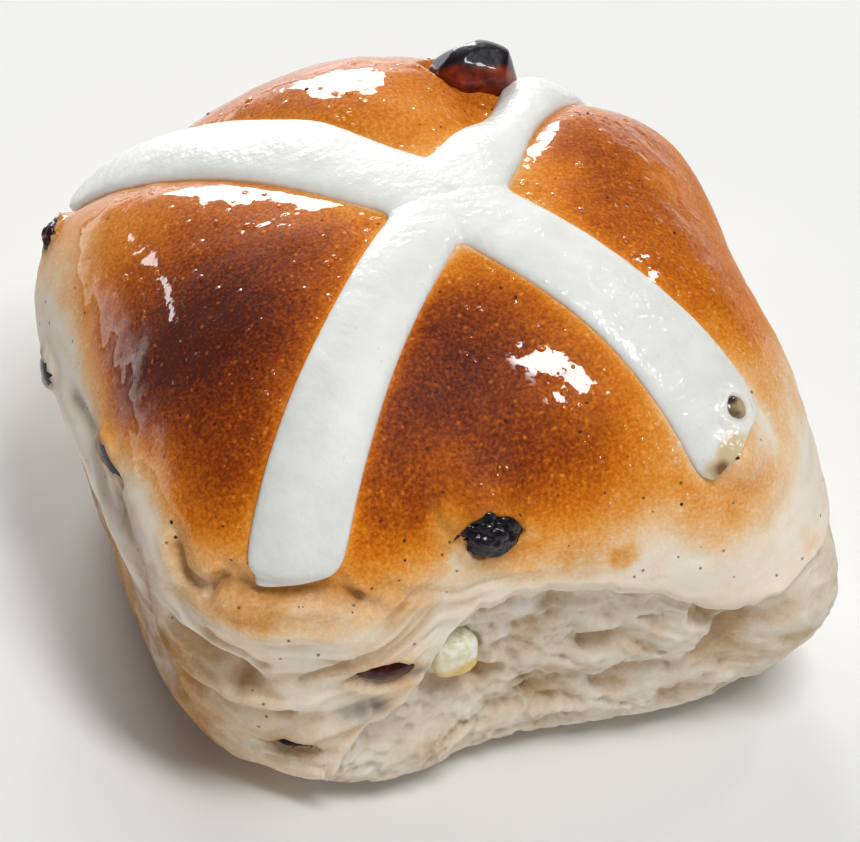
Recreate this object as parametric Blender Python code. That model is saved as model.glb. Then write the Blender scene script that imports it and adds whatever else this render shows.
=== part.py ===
"""Hot cross bun: one batch-baked bun with a piped flour-paste cross, raisins and candied peel.

The bun stands on its flat base. It was torn from its neighbours in the tray on its near side, -Y,
and on its right side, +X, which leaves a lip of crust over open crumb. The other two sides are
pale and smooth. Shape values are in millimetres, and the finished meshes are scaled to metres.
A direction round the bun is an angle in degrees from +X, towards +Y.
"""

import math

import bmesh
import bpy
import numpy as np
from mathutils import Matrix

MM = 0.001
GAP = 0.3  # between a fruit and the dough round it

# Bun: a dome on a wall, both on a rounded-square outline.
HALF_SIDE = 40.0
OUTLINE_POWER = 4.0  # 2 is a circle, more is squarer
BUN_HEIGHT = 56.0
WAIST_HEIGHT = 28.0  # where the dome meets the wall
DOME_REACH_POWER = 2.27
DOME_RISE_POWER = 2.06
WALL_LEAN = 1.9  # how far the wall draws in towards the base
FOOT_RADIUS = 9.1
BUN_SEGMENTS = 80
DOME_RINGS = 15
WALL_RINGS = 14
RING_CROWDING = 0.85  # under 1 sets the dome's rings closer near the waist

# The four panels puff up between the arms of the cross: direction and height.
PANEL_BULGES = ((90, 5.5), (180, 2.2), (-90, -0.6), (0, 2.0))
PANEL_RISE = 5.0  # distance over which a panel rises from the paste
PANEL_FOOT = 20.0  # height at which the bulge begins
PANEL_FADE = 10.0

# Swellings and hollows of the side: direction, height, half width, half height and swell.
SWELLS = (
    (-40, 16, 24, 11, 8.2),
    (145, 36, 22, 12, 2.8),
    (48, 44, 14, 10, -2.3),
    (-8, 26, 24, 14, -2.8),
    (-175, 26, 24, 14, 1.2),
    (-145, 10, 14, 10, -0.6),
    (-112, 4, 14, 8, 3.3),
    (-20, 36, 16, 9, 0.8),
    (-30, 18, 16, 14, 1.4),
    (165, 18, 18, 12, 1.5),
    (15, 46, 16, 9, 0.8),
    (-128, 30, 12, 4.5, 1.2),  # roll of dough under the end of the front left arm
)

# Bumps where something lies under the skin: centre, reach and height.
BUMPS = (
    ((-4, 30, 52), 11, 1.3),
    ((21, 24, 50), 7, 1.6),
    ((27.0, -33.6, 40.4), 3.6, 1.7),  # fruit past the end of the front right arm
    ((-3.7, -36.4, 43.0), 4.2, 1.3),  # skin drawn over the front raisin
)

# Creases (negative) and ridges: height, half width, then points of direction and height.
CREASES = (
    (-1.4, 1.2, ((-143.5, 36), (-141, 33.5), (-137, 33), (-134.5, 35.6), (-126, 35.5), (-120, 36), (-115, 33))),
    (-2.4, 1.5, ((-143, 24.7), (-138, 24.0), (-133, 23.0), (-131.5, 20.8))),
    (1.2, 1.7, ((-148, 25), (-147, 20.5), (-141, 19.2), (-135, 18.6), (-128, 18.2), (-123, 18.4))),
    (-1.3, 1.2, ((-141, 15.8), (-134, 16.0), (-128, 15.7), (-122, 15.2))),
    (-0.9, 1.4, ((-130, 8.6), (-123.5, 8.6), (-118, 8.8))),
    (-1.1, 1.6, ((-158, 31), (-166, 33), (-174, 34), (176, 33))),
    (-0.9, 1.6, ((162, 22), (150, 20), (138, 22))),
    (-1.2, 1.5, ((124, 31), (112, 33), (98, 31), (84, 33), (66, 31))),
    (-0.9, 1.6, ((106, 17), (94, 15), (80, 17))),
)

# Lower edge of the crust over the torn sides: direction and height, from left to right.
TEAR_EDGE = (
    (-128, 12), (-123, 16), (-117, 20), (-111, 24.5), (-106, 30), (-97, 31), (-80, 31.2), (-72, 29.8),
    (-65, 26.5), (-60, 24.2), (-55, 23.2), (-49, 24.4), (-38, 25.5), (-25, 29), (-10, 30), (5, 29),
    (18, 30.5), (30, 28), (40, 22),
)
TEAR_DEPTH = 2.4
TEAR_STEP = 1.6  # height over which the crust turns under
TEAR_FOOT = 1.0  # heights between which the torn side runs out to the base
TEAR_FULL = 13.0
TEAR_END = 6.0  # direction over which a tear runs out at its ends

# Holes that tearing opened in the crumb: direction, height, half width, half height and depth.
CRUMB_HOLES = (
    (-63, 20.0, 7.0, 3.0, 3.2),
    (-57, 15.0, 3.2, 3.6, 2.0),
    (-76, 15.0, 3.8, 2.4, 1.5),
    (-88, 22.5, 4.4, 2.4, 1.5),
    (-96, 15.5, 3.6, 2.4, 1.4),
    (-124, 12.0, 5.0, 2.6, 2.4),
    (-30, 16.0, 5.0, 3.0, 2.2),
    (-12, 21.0, 6.0, 2.8, 2.4),
    (4, 13.5, 4.5, 3.0, 1.8),
    (20, 20.0, 5.0, 2.8, 1.8),
)
SIDE_RADIUS = 45.0  # turns directions into distances along the side

# Cross: four arms piped from a crossing near the middle, in order round the bun.
CROSSING = (1.5, 0.0)
ARMS = (  # direction, sideways bow, half width near and far, waisting, reach
    (-133.0, 3.5, 4.3, 5.4, 0.2, 48.0),
    (-47.5, -3.7, 5.4, 6.2, 0.0, 40.2),
    (51.0, 0.0, 5.0, 5.2, 1.6, 45.0),
    (137.5, -1.8, 5.2, 7.0, 0.3, 47.5),
)
ARM_SCALE = 40.0  # distance from the crossing at which the bow and the far width are given
WAISTING_AT = 22.0
WAISTING_REACH = 9.0
REACH_STEP = 0.1  # to which the length of an arm is found
PASTE_LIFT = 0.6
PASTE_THICKNESS = 0.85
PASTE_EDGE = 0.4  # thickness at the rim
ARM_ROWS = 11
ARM_COLUMNS = 4
ARM_END_ROUND = 3.5  # length over which an arm's end narrows
ARM_END_SHARE = 0.8  # how much an arm narrows in its last row
PASTE_LIMIT = 0.962  # share of the outline that the paste stays inside

# Fruit: kind, centre, half sizes along its own axes, and its turn about Z and then X in degrees.
FRUIT = {
    "raisin_crown": ("raisin", (13.0, 27.0, 52.7), (5.5, 3.9, 3.8), (-10, 0)),
    "raisin_front": ("raisin", (-3.9, -36.0, 38.9), (4.2, 2.8, 3.2), (-3, -30)),
    "raisin_paste_end": ("raisin", (25.7, -29.4, 43.6), (2.7, 2.6, 2.9), (40, 0)),
    "raisin_side": ("raisin", (-15.4, -36.9, 21.7), (4.0, 2.3, 1.9), (-8, 0)),
    "raisin_low": ("raisin", (-24.7, -34.0, 9.1), (3.0, 2.1, 1.5), (-30, 0)),
    "raisin_left_slit": ("raisin", (-40.2, -11.6, 35.7), (4.9, 1.9, 2.1), (99, 0)),
    "raisin_left_spot": ("raisin", (-43.3, 10.4, 30.2), (2.8, 2.0, 2.3), (90, 0)),
    "raisin_left_top": ("raisin", (-39.4, 25.2, 38.0), (3.2, 2.2, 2.5), (60, 0)),
    "raisin_right": ("raisin", (38.9, 9.5, 34.0), (4.2, 2.5, 2.7), (92, 0)),
    "raisin_back": ("raisin", (-9.5, 42.4, 30.5), (4.4, 2.6, 2.8), (4, 0)),
    "peel_side": ("peel", (-7.0, -36.7, 21.0), (2.8, 2.2, 2.9), (6, 0)),
    "peel_right": ("peel", (34.2, -11.0, 22.0), (2.2, 2.8, 2.6), (5, 0)),
}
FRUIT_SEGMENTS = 12
FRUIT_RINGS = 7
WRINKLE_DEPTH = 0.07  # of a raisin's half size
PEEL_SQUARENESS = 3.2


def smooth_step(low, high, value):
    """Return 0 below low, 1 above high and a smooth rise between them."""
    share = np.clip((value - low) / (high - low), 0.0, 1.0)
    return share * share * (3.0 - 2.0 * share)


def turn_from(centre, direction):
    """Return the angle in degrees from one direction to another, between -180 and 180."""
    return (direction - centre + 180.0) % 360.0 - 180.0


def outline_share(x, y):
    """Return 1 on the outline of the widest level, and less inside it."""
    spread = np.abs(x) ** OUTLINE_POWER + np.abs(y) ** OUTLINE_POWER
    return spread ** (1.0 / OUTLINE_POWER) / HALF_SIDE


def dome_height(x, y):
    """Return the height of the plain dome over places on the plan."""
    share = np.minimum(outline_share(x, y), 1.0)
    rise = (1.0 - share**DOME_REACH_POWER) ** (1.0 / DOME_RISE_POWER)
    return WAIST_HEIGHT + (BUN_HEIGHT - WAIST_HEIGHT) * rise


def outward(points):
    """Return the directions square to the plain dome, or to the wall below it."""
    x, y, z = points.T
    share = np.maximum(outline_share(x, y), 1e-6)
    slope = OUTLINE_POWER - 1.0
    scale = (share * HALF_SIDE) ** slope * HALF_SIDE
    side = DOME_REACH_POWER * np.minimum(share, 1.0) ** (DOME_REACH_POWER - 1.0) / scale
    dome = BUN_HEIGHT - WAIST_HEIGHT
    rise = np.maximum((z - WAIST_HEIGHT) / dome, 0.0)
    up = DOME_RISE_POWER * rise ** (DOME_RISE_POWER - 1.0) / dome
    rays = np.stack([np.sign(x) * np.abs(x) ** slope * side, np.sign(y) * np.abs(y) ** slope * side, up], axis=1)
    return rays / np.linalg.norm(rays, axis=1, keepdims=True)


def arm_place(arm, x, y):
    """Return how far places on the plan are along an arm, and how far beside its middle line."""
    direction, bow = math.radians(arm[0]), arm[1]
    right, ahead = x - CROSSING[0], y - CROSSING[1]
    along = right * math.cos(direction) + ahead * math.sin(direction)
    beside = ahead * math.cos(direction) - right * math.sin(direction)
    return along, beside - bow * (along / ARM_SCALE) ** 2


def half_width(arm, along):
    """Return half the width of an arm at distances from the crossing."""
    near, far, waisting = arm[2:5]
    waist = waisting * np.exp(-(((along - WAISTING_AT) / WAISTING_REACH) ** 2))
    return near + (far - near) * np.clip(along / ARM_SCALE, 0.0, 1.0) - waist


def panel_rise(x, y):
    """Return 0 under the paste and a share that rises to 1 away from every arm."""
    share = np.ones_like(x)
    for arm in ARMS:
        along, beside = arm_place(arm, x, y)
        outside = np.hypot(np.maximum(np.abs(beside) - half_width(arm, along), 0.0), np.minimum(along, 0.0))
        share = share * (1.0 - np.exp(-outside / PANEL_RISE))
    return share


def panel_bulge(direction, points):
    """Return how far the crust puffs up between the arms."""
    x, y, z = points.T
    amount = sum(height * np.cos(np.radians(np.clip(turn_from(centre, direction), -90, 90))) ** 2
                 for centre, height in PANEL_BULGES)
    return amount * panel_rise(x, y) * np.clip((z - PANEL_FOOT) / PANEL_FADE, 0.0, 1.0)


def bump_height(points):
    """Return the sum of the bumps over what lies under the skin."""
    return sum(height * np.exp(-((points - np.array(centre)) ** 2).sum(axis=1) / reach**2)
               for centre, reach, height in BUMPS)


def side_swell(direction, z):
    """Return the sum of the broad swellings and hollows of the side."""
    return sum(swell * np.exp(-((turn_from(centre, direction) / width) ** 2) - ((z - level) / height) ** 2)
               for centre, level, width, height, swell in SWELLS)


def distance_to_line(direction, z, points):
    """Return the distance along the side from a line of points of direction and height."""
    nearest = np.full(z.shape, np.inf)
    for start, end in zip(points, points[1:]):
        run = math.radians(turn_from(start[0], end[0])) * SIDE_RADIUS
        climb = end[1] - start[1]
        right = np.radians(turn_from(start[0], direction)) * SIDE_RADIUS
        up = z - start[1]
        share = np.clip((right * run + up * climb) / (run * run + climb * climb), 0.0, 1.0)
        nearest = np.minimum(nearest, np.hypot(right - share * run, up - share * climb))
    return nearest


def crease_height(direction, z):
    """Return the sum of the creases and ridges, each a soft channel along its line."""
    return sum(height * np.exp(-((distance_to_line(direction, z, points) / width) ** 2))
               for height, width, points in CREASES)


def tear_depth(direction, z):
    """Return how far the torn crumb lies behind the crust, with the holes in it."""
    turns, levels = zip(*TEAR_EDGE)
    edge = np.interp(direction, turns, levels)
    starts = smooth_step(turns[0] - TEAR_END, turns[0], direction)
    ends = 1.0 - smooth_step(turns[-1], turns[-1] + TEAR_END, direction)
    depth = TEAR_DEPTH * starts * ends * smooth_step(0.0, TEAR_STEP, edge - z)
    depth = depth * smooth_step(TEAR_FOOT, TEAR_FULL, z)
    for centre, level, width, height, hole in CRUMB_HOLES:
        run = np.radians(turn_from(centre, direction)) * SIDE_RADIUS
        depth = depth + hole * np.exp(-((run / width) ** 2) - ((z - level) / height) ** 2)
    return depth


def settle(points):
    """Return where points of the plain dome or wall lie on the real, uneven bun."""
    x, y, z = points.T
    direction = np.degrees(np.arctan2(y, x))
    reach = np.maximum(np.hypot(x, y), 1e-9)
    radial = np.stack([x / reach, y / reach, np.zeros_like(z)], axis=1)
    puff = panel_bulge(direction, points) + bump_height(points)
    side = side_swell(direction, z) + crease_height(direction, z) - tear_depth(direction, z)
    return points + outward(points) * puff[:, None] + radial * side[:, None]


def plain_points(turns, rings):
    """Return points of the plain bun in directions in radians, on rings counted from the top."""
    radius = 1.0 / outline_share(np.cos(turns), np.sin(turns))
    climb = np.minimum(rings / DOME_RINGS, 1.0) ** RING_CROWDING * math.pi / 2
    rise = np.maximum(np.cos(climb), 0.0) ** (2 / DOME_RISE_POWER)
    down = np.maximum(rings - DOME_RINGS, 0) / WALL_RINGS
    z = np.where(down > 0, WAIST_HEIGHT * (1 - down), WAIST_HEIGHT + (BUN_HEIGHT - WAIST_HEIGHT) * rise)
    below = np.maximum(FOOT_RADIUS - z, 0.0)
    foot = FOOT_RADIUS - np.sqrt(FOOT_RADIUS**2 - below**2)
    reach = radius * np.sin(climb) ** (2 / DOME_REACH_POWER) - WALL_LEAN * down - foot
    return np.stack([reach * np.cos(turns), reach * np.sin(turns), z], axis=1)


def make_material(name, color, roughness):
    """Return a plain Principled material."""
    material = bpy.data.materials.new(name)
    material.use_nodes = True
    shader = material.node_tree.nodes["Principled BSDF"]
    shader.inputs["Base Color"].default_value = (*color, 1.0)
    shader.inputs["Roughness"].default_value = roughness
    shader.inputs["Metallic"].default_value = 0.0
    material.diffuse_color = (*color, 1.0)
    return material


def place_verts(shape, points):
    """Move the points of a bmesh to the rows of an array."""
    for vert, point in zip(shape.verts, points):
        vert.co = point


def add_object(name, shape, root, material=None):
    """Write a bmesh held in millimetres to a new object under the root, in metres, and free it."""
    bmesh.ops.recalc_face_normals(shape, faces=shape.faces)
    bmesh.ops.scale(shape, vec=(MM, MM, MM), verts=shape.verts)
    mesh = bpy.data.meshes.new(name)
    shape.to_mesh(mesh)
    shape.free()
    mesh.shade_smooth()
    if material:
        mesh.materials.append(material)
    obj = bpy.data.objects.new(name, mesh)
    bpy.context.scene.collection.objects.link(obj)
    obj.parent = root
    return obj


def cut(target, cutter):
    """Cut one object out of another, and hide the cutter."""
    cutter.hide_render = True
    cutter.display_type = "WIRE"
    boolean = target.modifiers.new(cutter.name, "BOOLEAN")
    boolean.operation = "DIFFERENCE"
    boolean.solver = "EXACT"
    boolean.object = cutter


def make_bun(root, material):
    """Shape a sphere into the bun: its rings become levels of the dome and the wall, then the base."""
    rings = DOME_RINGS + WALL_RINGS
    shape = bmesh.new()
    bmesh.ops.create_uvsphere(shape, u_segments=BUN_SEGMENTS, v_segments=rings + 1, radius=1.0)
    sphere = np.array([vert.co for vert in shape.verts])
    turns = np.arctan2(sphere[:, 1], sphere[:, 0])
    ring = np.round(np.arccos(np.clip(sphere[:, 2], -1, 1)) / math.pi * (rings + 1))
    points = settle(plain_points(turns, np.minimum(ring, rings)))
    points[ring > rings] = (0, 0, 0)
    place_verts(shape, points)
    return add_object("bun", shape, root, material)


def panel_tip(arm, following):
    """Return the plan place where the edges of two neighbouring arms meet."""
    directions = np.radians([arm[0], following[0]])
    across = np.stack([-np.sin(directions), np.cos(directions)], axis=1)
    return np.array(CROSSING) + np.linalg.solve(across, [arm[2], -following[2]])


def arm_points(arm, along, across, left):
    """Return plan places at distances along an arm.

    They lie at shares, -1 to 1, of its half width, which narrows over the last of the length left.
    """
    direction, bow = math.radians(arm[0]), arm[1]
    past = np.maximum(1.0 - left / ARM_END_ROUND, 0.0)
    narrow = np.sqrt(1.0 - (past * ARM_END_SHARE) ** 2)
    beside = across * half_width(arm, along) * narrow + bow * (along / ARM_SCALE) ** 2
    x = CROSSING[0] + along * math.cos(direction) - beside * math.sin(direction)
    y = CROSSING[1] + along * math.sin(direction) + beside * math.cos(direction)
    return np.stack([x, y], axis=-1)


def arm_reach(arm, across):
    """Return how far an arm runs at shares of its half width before it ends or meets the paste's limit."""
    tries = np.arange(ARM_SCALE / 2, arm[5] + REACH_STEP, REACH_STEP)[:, None]
    places = arm_points(arm, tries, across[None], np.full_like(tries, ARM_END_ROUND))
    inside = outline_share(places[..., 0], places[..., 1]) < PASTE_LIMIT
    return np.where(inside, tries, 0.0).max(axis=0)


def paste_plan():
    """Return grids of plan places: a middle patch between the four panel tips, and the four arms."""
    tips = [panel_tip(arm, ARMS[(index + 1) % 4]) for index, arm in enumerate(ARMS)]
    shares = np.linspace(0.0, 1.0, ARM_COLUMNS + 1)[:, None]
    near, far = tips[3] + (tips[0] - tips[3]) * shares, tips[2] + (tips[1] - tips[2]) * shares
    grids = [near[None] + (far - near)[None] * shares[:, None]]
    for index, arm in enumerate(ARMS):
        left, right = tips[index], tips[index - 1]
        begin = max(arm_place(arm, *tip)[0] for tip in (left, right))
        across = 2 * shares[:, 0] - 1
        run = arm_reach(arm, across) - begin
        steps = np.sin(np.linspace(0.0, math.pi / 2, ARM_ROWS + 1)[1:])
        rows = [right + (left - right) * shares]
        rows += [arm_points(arm, begin + run * step, across, run * (1.0 - step)) for step in steps]
        grids.append(np.array(rows))
    return grids


def make_cross(root, material):
    """Lay the cross over the bun: its lower skin follows the dough and its upper skin stands proud."""
    shape = bmesh.new()
    for grid in paste_plan():
        verts = [[shape.verts.new((*place, 0.0)) for place in row] for row in grid]
        for row, after in zip(verts, verts[1:]):
            for i in range(len(row) - 1):
                shape.faces.new((row[i], row[i + 1], after[i + 1], after[i]))
    bmesh.ops.remove_doubles(shape, verts=shape.verts, dist=0.01)
    rim = {vert.co.to_tuple(3) for vert in shape.verts if vert.is_boundary}
    upper = set(bmesh.ops.extrude_face_region(shape, geom=shape.faces[:], use_keep_orig=True)["geom"])
    lifts = [PASTE_LIFT + (vert in upper) * (PASTE_EDGE if vert.co.to_tuple(3) in rim else PASTE_THICKNESS)
             for vert in shape.verts]
    plan = np.array([vert.co for vert in shape.verts])
    plan[:, 2] = dome_height(plan[:, 0], plan[:, 1])
    place_verts(shape, settle(plan) + outward(plan) * np.array(lifts)[:, None])
    return add_object("cross", shape, root, material)


def make_fruit(name, root, material=None, grow=0.0):
    """Shape a raisin or a cube of candied peel. A grown one is the room it takes in the dough."""
    kind, centre, half_sizes, (about_z, about_x) = FRUIT[name]
    shape = bmesh.new()
    bmesh.ops.create_uvsphere(shape, u_segments=FRUIT_SEGMENTS, v_segments=FRUIT_RINGS, radius=1.0)
    rays = np.array([vert.co.normalized() for vert in shape.verts])
    if kind == "peel":
        length = (np.abs(rays) ** PEEL_SQUARENESS).sum(axis=1) ** (-1 / PEEL_SQUARENESS)
    else:
        phase = sum(ord(letter) for letter in name)
        wave = np.sin(5 * rays[:, 0] + phase) * np.sin(6 * rays[:, 1] + 2 * phase)
        length = 1.0 + WRINKLE_DEPTH * (wave + np.sin(7 * rays[:, 2] + phase))
    place_verts(shape, rays * length[:, None] * (np.array(half_sizes) + grow))
    turn = Matrix.Rotation(math.radians(about_z), 4, "Z") @ Matrix.Rotation(math.radians(about_x), 4, "X")
    bmesh.ops.transform(shape, matrix=Matrix.Translation(centre) @ turn, verts=shape.verts)
    return add_object(f"room_for_{name}" if grow else name, shape, root, material)


def centre_on_footprint(root, objects):
    """Move the root so that the object's box stands on the origin by the middle of its underside."""
    bpy.context.view_layer.update()
    graph = bpy.context.evaluated_depsgraph_get()
    meshes = [(obj.evaluated_get(graph), obj.matrix_world) for obj in objects]
    points = np.array([world @ vert.co for obj, world in meshes for vert in obj.data.vertices])
    low, high = points.min(axis=0), points.max(axis=0)
    root.location = (-(low[0] + high[0]) / 2, -(low[1] + high[1]) / 2, -low[2])


def main():
    for obj in list(bpy.data.objects):
        bpy.data.objects.remove(obj, do_unlink=True)
    root = bpy.data.objects.new("bun_origin", None)
    bpy.context.scene.collection.objects.link(root)
    finishes = {
        "raisin": make_material("raisin_skin", (0.03, 0.012, 0.01), 0.3),
        "peel": make_material("candied_peel", (0.75, 0.6, 0.25), 0.3),
    }
    bun = make_bun(root, make_material("baked_crust", (0.46, 0.17, 0.04), 0.35))
    cross = make_cross(root, make_material("flour_paste", (0.76, 0.74, 0.68), 0.4))
    fruit = [make_fruit(name, root, finishes[FRUIT[name][0]]) for name in FRUIT]
    rooms = {name: make_fruit(name, root, grow=GAP) for name in FRUIT}
    for room in rooms.values():
        cut(bun, room)
    for name in ("raisin_crown", "raisin_paste_end"):
        cut(cross, rooms[name])
    centre_on_footprint(root, [bun, cross, *fruit])


main()
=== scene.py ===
"""Hot cross bun, dressed for show.

One batch-baked bun, torn from its neighbours in the tray on two sides: glazed crust over open
crumb, a piped flour-paste cross, raisins and candied peel. Shape values are in millimetres, in
the bun's own form frame, whose base is at z 0 under the middle of the plain dome. A direction
round the bun is an angle in degrees from +X, towards +Y.
"""

import itertools
import logging
import math
from dataclasses import dataclass
from enum import Enum

import bpy
import numpy as np
from mathutils import Matrix, Vector


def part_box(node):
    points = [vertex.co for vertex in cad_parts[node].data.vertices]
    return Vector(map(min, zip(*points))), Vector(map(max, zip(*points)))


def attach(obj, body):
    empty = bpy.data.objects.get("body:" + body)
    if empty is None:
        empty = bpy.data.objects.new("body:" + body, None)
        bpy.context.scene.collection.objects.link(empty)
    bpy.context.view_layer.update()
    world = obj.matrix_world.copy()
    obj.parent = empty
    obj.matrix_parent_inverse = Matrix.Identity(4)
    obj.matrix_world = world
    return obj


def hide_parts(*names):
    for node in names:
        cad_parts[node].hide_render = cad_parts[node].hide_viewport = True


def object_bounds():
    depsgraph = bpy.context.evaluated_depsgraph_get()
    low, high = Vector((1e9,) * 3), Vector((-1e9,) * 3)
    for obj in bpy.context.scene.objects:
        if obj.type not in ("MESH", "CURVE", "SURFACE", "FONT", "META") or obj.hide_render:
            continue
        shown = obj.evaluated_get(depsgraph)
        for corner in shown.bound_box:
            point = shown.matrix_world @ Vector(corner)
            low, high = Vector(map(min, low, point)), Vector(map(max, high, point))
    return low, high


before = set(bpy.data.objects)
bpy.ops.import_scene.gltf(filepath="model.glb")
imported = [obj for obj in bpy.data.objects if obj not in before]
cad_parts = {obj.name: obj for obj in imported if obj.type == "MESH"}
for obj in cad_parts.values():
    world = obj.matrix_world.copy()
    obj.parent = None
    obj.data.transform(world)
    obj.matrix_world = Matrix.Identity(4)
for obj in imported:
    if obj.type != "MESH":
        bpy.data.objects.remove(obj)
CAD_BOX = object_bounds()

MM = 0.001
LOG = logging.getLogger("hot_cross_bun")


# ---------------------------------------------------------------- small helpers


def smooth_step(low: float, high: float, value: np.ndarray) -> np.ndarray:
    """Rise smoothly from 0 to 1.

    Args:
        low: Value at and below which the result is 0.
        high: Value at and above which the result is 1.
        value: Values to look up.

    Returns:
        The shares, between 0 and 1.
    """
    share = np.clip((value - low) / (high - low), 0.0, 1.0)
    return share * share * (3.0 - 2.0 * share)


def turn_from(centre: float, direction: np.ndarray) -> np.ndarray:
    """Return the angles in degrees from one direction to others, between -180 and 180."""
    return (direction - centre + 180.0) % 360.0 - 180.0


def scatter(node: np.ndarray, seed: int) -> np.ndarray:
    """Give each whole-number place a fixed number that looks random.

    Args:
        node: Whole-number places, one row each.
        seed: Picks one of many sets of numbers.

    Returns:
        A number from 0 to 1 for each row.
    """
    mixed = node[:, 0] * 374761393 + node[:, 1] * 668265263 + node[:, 2] * 2147483647 + seed * 1274126177
    mixed = (mixed ^ (mixed >> 13)) * 1274126177 & 0xFFFFFFFF
    mixed = (mixed ^ (mixed >> 16)) * 2246822519 & 0xFFFFFFFF
    return ((mixed ^ (mixed >> 15)) & 0xFFFFFF) / float(0xFFFFFF)


def soft_noise(points: np.ndarray, size: float, seed: int) -> np.ndarray:
    """Make smooth noise.

    Args:
        points: Points, one row each.
        size: Size of its lumps, in millimetres.
        seed: Picks one of many patterns.

    Returns:
        A number between -1 and 1 for each point.
    """
    cells = points / size
    corner_cell = np.floor(cells).astype(np.int64)
    part = cells - corner_cell
    blend = part**3 * (part * (part * 6.0 - 15.0) + 10.0)
    total = np.zeros(len(points))
    for corner in itertools.product((0, 1), repeat=3):
        weight = np.prod(np.where(np.array(corner) == 1, blend, 1.0 - blend), axis=1)
        total += weight * scatter(corner_cell + np.array(corner), seed)
    return total * 2.0 - 1.0


def layered_noise(points: np.ndarray, size: float, seed: int, layers: int = 3) -> np.ndarray:
    """Make soft noise with finer and fainter layers on it.

    Args:
        points: Points, one row each.
        size: Size of its largest lumps, in millimetres.
        seed: Picks one of many patterns.
        layers: How many layers it has, each half as large as the last.

    Returns:
        A number of about -1 to 1 for each point.
    """
    shares = [0.55**layer for layer in range(layers)]
    total = sum(share * soft_noise(points, size * 0.5**i, seed + i) for i, share in enumerate(shares))
    return total / sum(shares)


def cell_pattern(points: np.ndarray, size: float, seed: int) -> tuple[np.ndarray, np.ndarray]:
    """Find the nearest of scattered centres.

    Args:
        points: Points, one row each.
        size: Spacing of the centres, in millimetres.
        seed: Picks one of many patterns.

    Returns:
        Each point's distance to its nearest centre, as a share of the spacing, and a number from
        0 to 1 that belongs to that centre.
    """
    cells = points / size
    home = np.floor(cells).astype(np.int64)
    nearest = np.full(len(points), np.inf)
    draw = np.zeros(len(points))
    for step in itertools.product((-1, 0, 1), repeat=3):
        node = home + np.array(step)
        centre = node + np.stack([scatter(node, seed + axis) for axis in range(3)], axis=1)
        distance = ((centre - cells) ** 2).sum(axis=1)
        closer = distance < nearest
        nearest = np.where(closer, distance, nearest)
        draw = np.where(closer, scatter(node, seed + 3), draw)
    return np.sqrt(nearest), draw


def deselect_all() -> None:
    """Leave nothing selected, so that an operator acts on the new piece alone."""
    if bpy.context.mode != "OBJECT":
        bpy.ops.object.mode_set(mode="OBJECT")
    bpy.ops.object.select_all(action="DESELECT")


def read_points(piece: bpy.types.Object) -> np.ndarray:
    """Return the places of a mesh's vertices, one row each."""
    places = np.empty(len(piece.data.vertices) * 3)
    piece.data.vertices.foreach_get("co", places)
    return places.reshape(-1, 3)


def write_points(piece: bpy.types.Object, points: np.ndarray) -> None:
    """Move a mesh's vertices to the rows of an array."""
    piece.data.vertices.foreach_set("co", np.ascontiguousarray(points, dtype=np.float64).ravel())
    piece.data.update()


def write_attribute(piece: bpy.types.Object, name: str, values: np.ndarray) -> None:
    """Store one number for each vertex of a mesh, for its material to read."""
    attribute = piece.data.attributes.new(name, "FLOAT", "POINT")
    attribute.data.foreach_set("value", np.asarray(values, dtype=np.float32))


def add_sphere(name: str, segments: int, rings: int) -> tuple[bpy.types.Object, np.ndarray]:
    """Add a unit sphere to shape.

    Args:
        name: The new object's name.
        segments: Columns round it.
        rings: Rows from pole to pole.

    Returns:
        The object, and its vertices' places, one row each.
    """
    deselect_all()
    bpy.ops.mesh.primitive_uv_sphere_add(segments=segments, ring_count=rings, radius=1.0)
    piece = bpy.context.object
    piece.name = name
    return piece, read_points(piece)


def write_inside(piece: bpy.types.Object, points: np.ndarray, knee: float = 0.8) -> None:
    """Move a mesh's vertices to points in the object's frame, held softly inside the solids' box.

    Args:
        piece: The object to shape.
        points: The points, in millimetres, one row each.
        knee: How far inside the box the points start to be held back.
    """
    low, high = (np.array(corner) / MM for corner in CAD_BOX)
    over = np.maximum(points - (high - knee), 0.0)
    under = np.maximum(low + knee - points, 0.0) * np.array([1.0, 1.0, 0.0])
    held = points - over + knee * np.tanh(over / knee) + under - knee * np.tanh(under / knee)
    write_points(piece, held * MM)


def face_outwards(piece: bpy.types.Object) -> None:
    """Turn all of a closed mesh's faces outwards.

    Args:
        piece: The object whose mesh it is.
    """
    deselect_all()
    piece.select_set(True)
    bpy.context.view_layer.objects.active = piece
    bpy.ops.object.mode_set(mode="EDIT")
    bpy.ops.mesh.select_all(action="SELECT")
    bpy.ops.mesh.normals_make_consistent(inside=False)
    bpy.ops.object.mode_set(mode="OBJECT")


# ---------------------------------------------------------------- the dough's form


@dataclass(frozen=True)
class Arm:
    """One arm of the piped cross: a band that leaves the crossing in a direction."""

    direction: float
    bow: float
    near: float
    far: float
    waisting: float
    reach: float


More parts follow.
